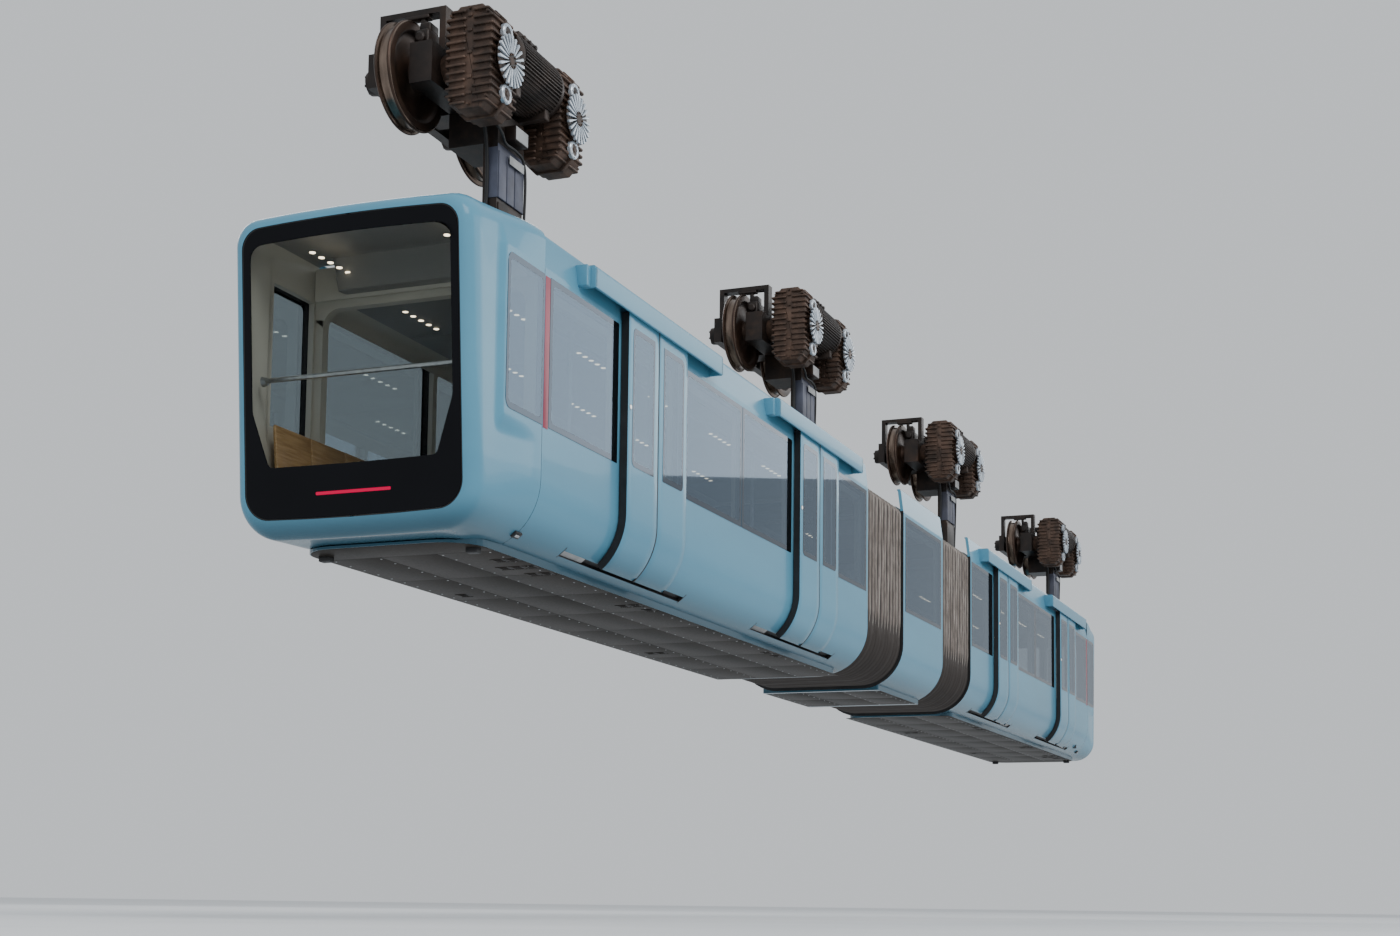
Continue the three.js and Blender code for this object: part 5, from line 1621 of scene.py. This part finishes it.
units = [(2.65, 1), (4.35, -1), (4.42, 1), (6.12, -1), (6.19, 1), (7.89, -1), (7.96, 1)]
slotShapes = putTogether(*[slotParts(c) for c in doorCentres])
sectionLights = ceilingLights([1.4, 3.0, 4.6, 6.2, 7.8], ceiling["z"] - 0.008)
for name, end in ends:
    section = f"{name}_section"
    loungeFrom = 0.25 if end < 0 else 1.52
    bench, doorBench = benchAlong(loungeFrom, 2.28), mirrored(benchAlong(4.05, 6.55), 0)
    plainSide = putTogether(bench, *[unitAcross(at, facing) for at, facing in units])
    plinths = plinthAlong(max(loungeFrom, 0.98), 9.3)
    doorPlinth = mirrored(plinthAlong(4.05, 6.55), 0)
    metal = putTogether(seatMetal(units, [(loungeFrom, 2.28)]), mirrored(seatMetal([], [(4.05, 6.55)]), 0))
    module = ceilingLights([0.27], -1.093, 0.6)
    arches = putTogether(archAt(0.955, 1.04, 0.07), archAt(9.49, 9.55, 0.05))
    rows = [
        ("slots", slotShapes, [sealRubber, boxCoat], "body_paint", []),
        ("catch", catch, [handrailSteel, sealRubber], "body_paint", []),
        ("roof_fittings", roofFittings(0.96, 9.555, bogieCentres), roofSheet, "body_paint", []),
        ("roof_mats", roofMats([(2.5, 4.6), (5.0, 7.6)]), sealRubber, "body_paint", []),
        ("seats_plain", plainSide, [seatVeneer, crossVeneer], "seat_shell", [f"{name}_seats_plain_side"]),
        ("seats_door", doorBench, seatVeneer, "seat_shell", [f"{name}_seats_door_side"]),
        ("plinths", putTogether(plinths, doorPlinth), liningPanel, "seat_shell", []),
        ("seat_metal", metal, handrailSteel, "seat_shell", []),
        ("rails", railShape(), handrailSteel, "handrail", [f"{name}_handrails"]),
        ("ceiling", ceilingPanels(1.045, 9.49), ceilingPanel, "body_paint", []),
        ("ceiling_lights", sectionLights, ceilingLens, "body_paint", []),
        ("module_lights", module, ceilingLens, "body_paint", []),
        ("arches", arches, liningPanel, "body_paint", []),
    ]
    for part, shape, finish, slotName, replaced in rows:
        makePiece(f"{name}_{part}", atEnd(shape, end), finish, section, replaced)
bar = atEnd(barShape, -1)
makePiece("lounge_window_bar", bar, handrailSteel, "rear_section", ["rear_window_bar"])
middleRoof = roofFittings(-0.93, 0.93, [])
makePiece("middle_roof_fittings", middleRoof, roofSheet, "middle_section")
makePiece("middle_ceiling", ceilingPanels(-0.94, 0.94), ceilingPanel, "middle_section")
middleLights = ceilingLights([-0.26], ceiling["z"] - 0.008)
makePiece("middle_ceiling_lights", middleLights, ceilingLens, "middle_section")
print("cabins fitted out")

# The cab: a partition with a doorway, the desk under the end glass and the driver's seat.
cab = {"floor": -3.285, "from": 1.4, "to": 1.44, "doorway": 0.33, "head": -1.43, "sill": 0.9}


def cabPartition():
    # a panel either side of the doorway, one of them with a pane, and the head over the opening
    floor, gap, head = cab["floor"], cab["doorway"], cab["head"]
    sill = floor + cab["sill"]

    def panel(x0, x1, z0, z1, inset=0.0):
        return slab(rectangle(x0, x1, z0, z1, 0.01), 1, cab["from"] + inset, cab["to"] - inset, 0.004)

    panels = [
        mirrored(panel(gap, 0.985, floor + 0.01, -1.262), 0),
        panel(gap, 0.985, floor + 0.01, sill),
        panel(gap, 0.45, sill - 0.01, -1.262),
        panel(0.9, 0.985, sill - 0.01, -1.262),
        panel(-gap - 0.01, 0.91, head, -1.264, 0.002),
    ]
    corners = [(-gap, floor + 0.02), (-gap, head), (gap, head), (gap, floor + 0.02)]
    trim = tube(np.array([(x, 1.39, z) for x, z in corners]), 0.009, 10)
    return putTogether(*panels, finished(trim, 1))


def cabDesk():
    # a curved top with a hood over two blank screens, the column beneath, and its knobs and lever
    top = [(0.2, -2.52, 0.02), (0.22, -2.56, 0.02), (0.62, -2.56, 0.03), (0.645, -2.53, 0.02)]
    top += [(0.6, -2.485, 0.04), (0.36, -2.46, 0.05), (0.24, -2.44, 0.02)]
    slope = slab(roundedOutline(top, 4), 0, -0.78, 0.78, 0.012)
    column = block((-0.56, 0.56), (0.27, 0.55), (cab["floor"] + 0.075, -2.555), 0.03)
    hood = [(0.3, -2.47, 0.01), (0.4, -2.47, 0.02), (0.37, -2.27, 0.02), (0.34, -2.26, 0.01)]
    shapes = [slope, column]
    for centre in (-0.34, 0.34):
        shapes.append(slab(roundedOutline(hood, 4), 0, centre - 0.17, centre + 0.17, 0.008))
        screen = rectangle(centre - 0.145, centre + 0.145, -2.44, -2.29, 0.008)
        screen = slab(screen, 1, 0.398, 0.402, 0.001, 1)
        points = screen[0].copy()
        points[:, 1] -= (points[:, 2] + 2.47) * 0.15 - 0.0015
        shapes.append((points, screen[1], screen[2]))
    knob = turned([(-2.47, 0.017), (-2.452, 0.017), (-2.446, 0.013)], 2, (0, 0.52, 0), 16)
    knobs = inLine(knob, [(x, 0, 0) for x in np.arange(-0.21, 0.22, 0.06)])
    boot = turned([(-2.49, 0.05), (-2.47, 0.045), (-2.44, 0.016)], 2, (-0.56, 0.5, 0), 24)
    lever = tube(np.array([(-0.56, 0.5, -2.45), (-0.56, 0.51, -2.37)]), 0.009, 12)
    grip = [(-2.38, 0.016), (-2.365, 0.024), (-2.345, 0.024), (-2.33, 0.014)]
    grip = turned(grip, 2, (-0.56, 0.512, 0), 20)
    return putTogether(*shapes, finished(putTogether(knobs, boot, lever, grip), 1))


def driverFrame():
    # the column on its base ring, the swivel plate, the back's hard shell and the two arm rests
    floor = cab["floor"]
    base = [(floor + 0.002, 0.2), (floor + 0.012, 0.2), (floor + 0.02, 0.18), (floor + 0.04, 0.06)]
    base = turned(base, 2, (0, 1, 0), 40)
    column = turned([(floor + 0.03, 0.05), (floor + 0.39, 0.05)], 2, (0, 1, 0), 28)
    plate = block((-0.2, 0.2), (0.8, 1.2), (floor + 0.375, floor + 0.4), 0.012)
    shell = [(1.225, floor + 0.42, 0.02), (1.268, floor + 0.44, 0.02), (1.28, floor + 1.1, 0.05)]
    shell += [(1.262, floor + 1.165, 0.01), (1.248, floor + 1.16, 0.006), (1.238, floor + 0.6, 0.2)]
    back = slab(roundedOutline(shell, 4), 0, -0.22, 0.22, 0.008)
    shapes = [base, column, plate, back]
    for side in (-0.275, 0.275):
        shapes.append(block((side - 0.025, side + 0.025), (0.86, 1.2), (floor + 0.66, floor + 0.7), 0.016))
        shapes.append(block((side - 0.012, side + 0.012), (1.19, 1.25), (floor + 0.5, floor + 0.7), 0.008))
        strut = (min(side, 0.75 * side) - 0.012, max(side, 0.75 * side) + 0.012)
        shapes.append(block(strut, (1.2, 1.25), (floor + 0.5, floor + 0.53), 0.008))
    return putTogether(*shapes)


def sewnPad(width, depth, thick, corner):
    # a pad's cover before it is filled: its edge comes in towards top and bottom by the rounding
    outline = resampled(rectangle(-width / 2, width / 2, -depth / 2, depth / 2, corner, 8), 96)
    turn = np.linspace(-80, 80, 9)
    rings = [drawnIn(outline, thick * 0.45 * (1 - np.cos(np.radians(t)))) for t in turn]
    rings = [rings[0] * s for s in (0.25, 0.55, 0.82)] + rings + [rings[-1] * s for s in (0.82, 0.55, 0.25)]
    level = thick / 2 * np.sin(np.radians(turn)) / np.sin(np.radians(80))
    crown = thick * np.array([0.13, 0.11, 0.06])
    level = np.concatenate([-thick / 2 - crown, level, thick / 2 + crown[::-1]])
    return stacked(rings, level, 2, [0] * 3)


def baked(cover):
    # the cover's mesh with its modifiers worked in
    shape = bpy.data.meshes.new_from_object(cover.evaluated_get(bpy.context.evaluated_depsgraph_get()))
    cover.modifiers.clear()
    return shape


def spotsOf(mesh):
    spots = np.empty(len(mesh.vertices) * 3)
    mesh.vertices.foreach_get("co", spots)
    return spots.reshape(-1, 3)


def filled(cover, pressure, furthest):
    # the cover as an even net of 10 mm, blown up by cloth pressure like foam behind its fabric; no
    # point moves further than furthest
    remesh = cover.modifiers.new("even", "REMESH")
    remesh.mode, remesh.voxel_size = "VOXEL", 0.01
    cover.data = baked(cover)
    before = spotsOf(cover.data)
    cloth = cover.modifiers.new("filling", "CLOTH")
    cloth.settings.use_pressure = True
    cloth.settings.uniform_pressure_force = pressure
    cloth.settings.effector_weights.gravity = 0
    for frameNumber in range(1, 21):
        bpy.context.scene.frame_set(frameNumber)
    cover.data = baked(cover)
    bpy.context.scene.frame_set(1)
    step = spotsOf(cover.data) - before
    far = np.maximum(np.linalg.norm(step, axis=1)[:, None], 1e-9)
    cover.data.vertices.foreach_set("co", (before + step * np.minimum(1, furthest / far)).ravel())
    cover.data.shade_smooth()
    smoother = cover.modifiers.new("rounded", "SUBSURF")
    smoother.levels = smoother.render_levels = 1


# Woven wool seat cover: dark blue-grey with a fine crossing weave.
seatFabric = weathered(
    "wovenWool", light="#3F4A5C", dark="#2B3442", patch=0.004, dirt="#5A5F68", dirtMost=0.25,
    grain=0.0016, rough=(0.8, 0.95), relief=0.0006, strength=0.6,
)
tipped = np.radians(87)
pads = [
    {"name": "driver_seat_cushion", "size": (0.46, 0.44, 0.085), "at": (0, 1.0, 0.455), "tip": 0.0},
    {"name": "driver_seat_back", "size": (0.42, 0.62, 0.075), "at": (0, 1.2, 0.83), "tip": tipped},
]
for pad in pads:
    width, depth, thick = pad["size"]
    points, faces, tags = sewnPad(width, depth, thick, 0.07)
    x, y, z = points.T
    y, z = y * np.cos(pad["tip"]) - z * np.sin(pad["tip"]), y * np.sin(pad["tip"]) + z * np.cos(pad["tip"])
    points = np.stack([x, y, z], 1) + pad["at"] + [0, 0, cab["floor"]]
    cover = atEnd((points, faces, tags), 1)
    piece = makePiece(pad["name"], cover, seatFabric, "front_section")
    filled(piece, 4.0, 0.012)
pieces = [
    ("cab_wall", cabPartition(), [cabPlastic, handrailSteel], "cab_partition"),
    ("cab_desk", cabDesk(), [cabPlastic, glassFrit], "driver_desk"),
    ("driver_seat_frame", driverFrame(), cabPlastic, "driver_seat"),
]
for name, shape, finish, node in pieces:
    makePiece(name, atEnd(shape, 1), finish, "front_section", [node])
outer, inner = rectangle(0.452, 0.898, -2.383, -1.432, 0.02), rectangle(0.462, 0.888, -2.373, -1.442, 0.015)
pane = paneOf(outer, inner, 1, 1.414, 1.424)
makePiece("cab_wall_pane", atEnd(pane, 1), [glassFrit, laminatedGlass], "front_section")
print("cab fitted out")

# The floor and backdrop, the light and the camera.
studio = {"floor": -6.32, "radius": 420, "air": "#E4E8EC"}
paper, tree, shader, place = newMaterial("seamlessPaper")
fibre = addNode(tree, "ShaderNodeTexNoise", {"Vector": place, "Scale": 0.4, "Detail": 6.0})
tone = addNode(
    tree, "ShaderNodeValToRGB", {"Fac": fibre.outputs["Fac"]}, stops=[(0.3, "#DDE0E2"), (0.7, "#E4E6E8")]
)
tree.links.new(tone.outputs["Color"], shader.inputs["Base Color"])
shader.inputs["Roughness"].default_value = 0.9
turn = np.linspace(0, 2 * np.pi, 180, endpoint=False)
disc = studio["radius"] * np.stack([np.cos(turn), np.sin(turn)], 1)
floorPlate = slab(disc, 2, studio["floor"] - 0.1, studio["floor"], 0.02)
makePiece("studio_floor", floorPlate, paper, None)

world = bpy.data.worlds.new("studioAir")
bpy.context.scene.world = world
world.use_nodes = True
world.node_tree.nodes["Background"].inputs["Color"].default_value = toLinear(studio["air"])
world.node_tree.nodes["Background"].inputs["Strength"].default_value = 0.9

lamps = [
    {"name": "key", "at": (16, -22, 14), "towards": (0, -4, -2), "size": (14, 10), "power": 3100},
    {"name": "side", "at": (20, 6, 6), "towards": (0, 2, -2), "size": (22, 6), "power": 700},
    {"name": "card", "at": (24, 52, 20), "towards": (0, 0, -2), "size": (54, 16), "power": 4600},
    {"name": "back", "at": (-16, 10, 12), "towards": (0, 0, 0), "size": (18, 8), "power": 1500},
]
for lamp in lamps:
    light = bpy.data.lights.new(lamp["name"], "AREA")
    light.shape = "RECTANGLE"
    light.size, light.size_y = lamp["size"]
    light.energy = lamp["power"]
    holder = bpy.data.objects.new(lamp["name"], light)
    holder.location = lamp["at"]
    aim = Vector(lamp["towards"]) - Vector(lamp["at"])
    holder.rotation_euler = aim.to_track_quat("-Z", "Y").to_euler()
    bpy.context.scene.collection.objects.link(holder)

# The camera stands below and ahead of the car: turned by yaw towards -X, tipped up by pitch, then
# rolled; the picture is shifted up because the photograph is a crop.
view = {
    "at": (7.898, -24.574, -6.155),
    "yaw": 21.965,
    "pitch": 5.5615,
    "roll": 0.7086,
    "lens": 50.69,
    "shiftY": 0.1752,
}
yaw, pitch, roll = (radians(view[key]) for key in ("yaw", "pitch", "roll"))
right = Vector((cos(yaw), sin(yaw), 0))
forward = Vector((-sin(yaw) * cos(pitch), cos(yaw) * cos(pitch), sin(pitch)))
above = right.cross(forward)
across = right * cos(roll) + above * sin(roll)
upright = above * cos(roll) - right * sin(roll)
turn = Matrix((across, upright, -forward)).transposed().to_4x4()
cameraData = bpy.data.cameras.new("photoView")
cameraData.lens, cameraData.sensor_width = view["lens"], 36
cameraData.shift_y = view["shiftY"]
cameraData.clip_end = 500
camera = bpy.data.objects.new("photoView", cameraData)
camera.matrix_world = Matrix.Translation(view["at"]) @ turn
bpy.context.scene.collection.objects.link(camera)
bpy.context.scene.camera = camera
print("studio set up")
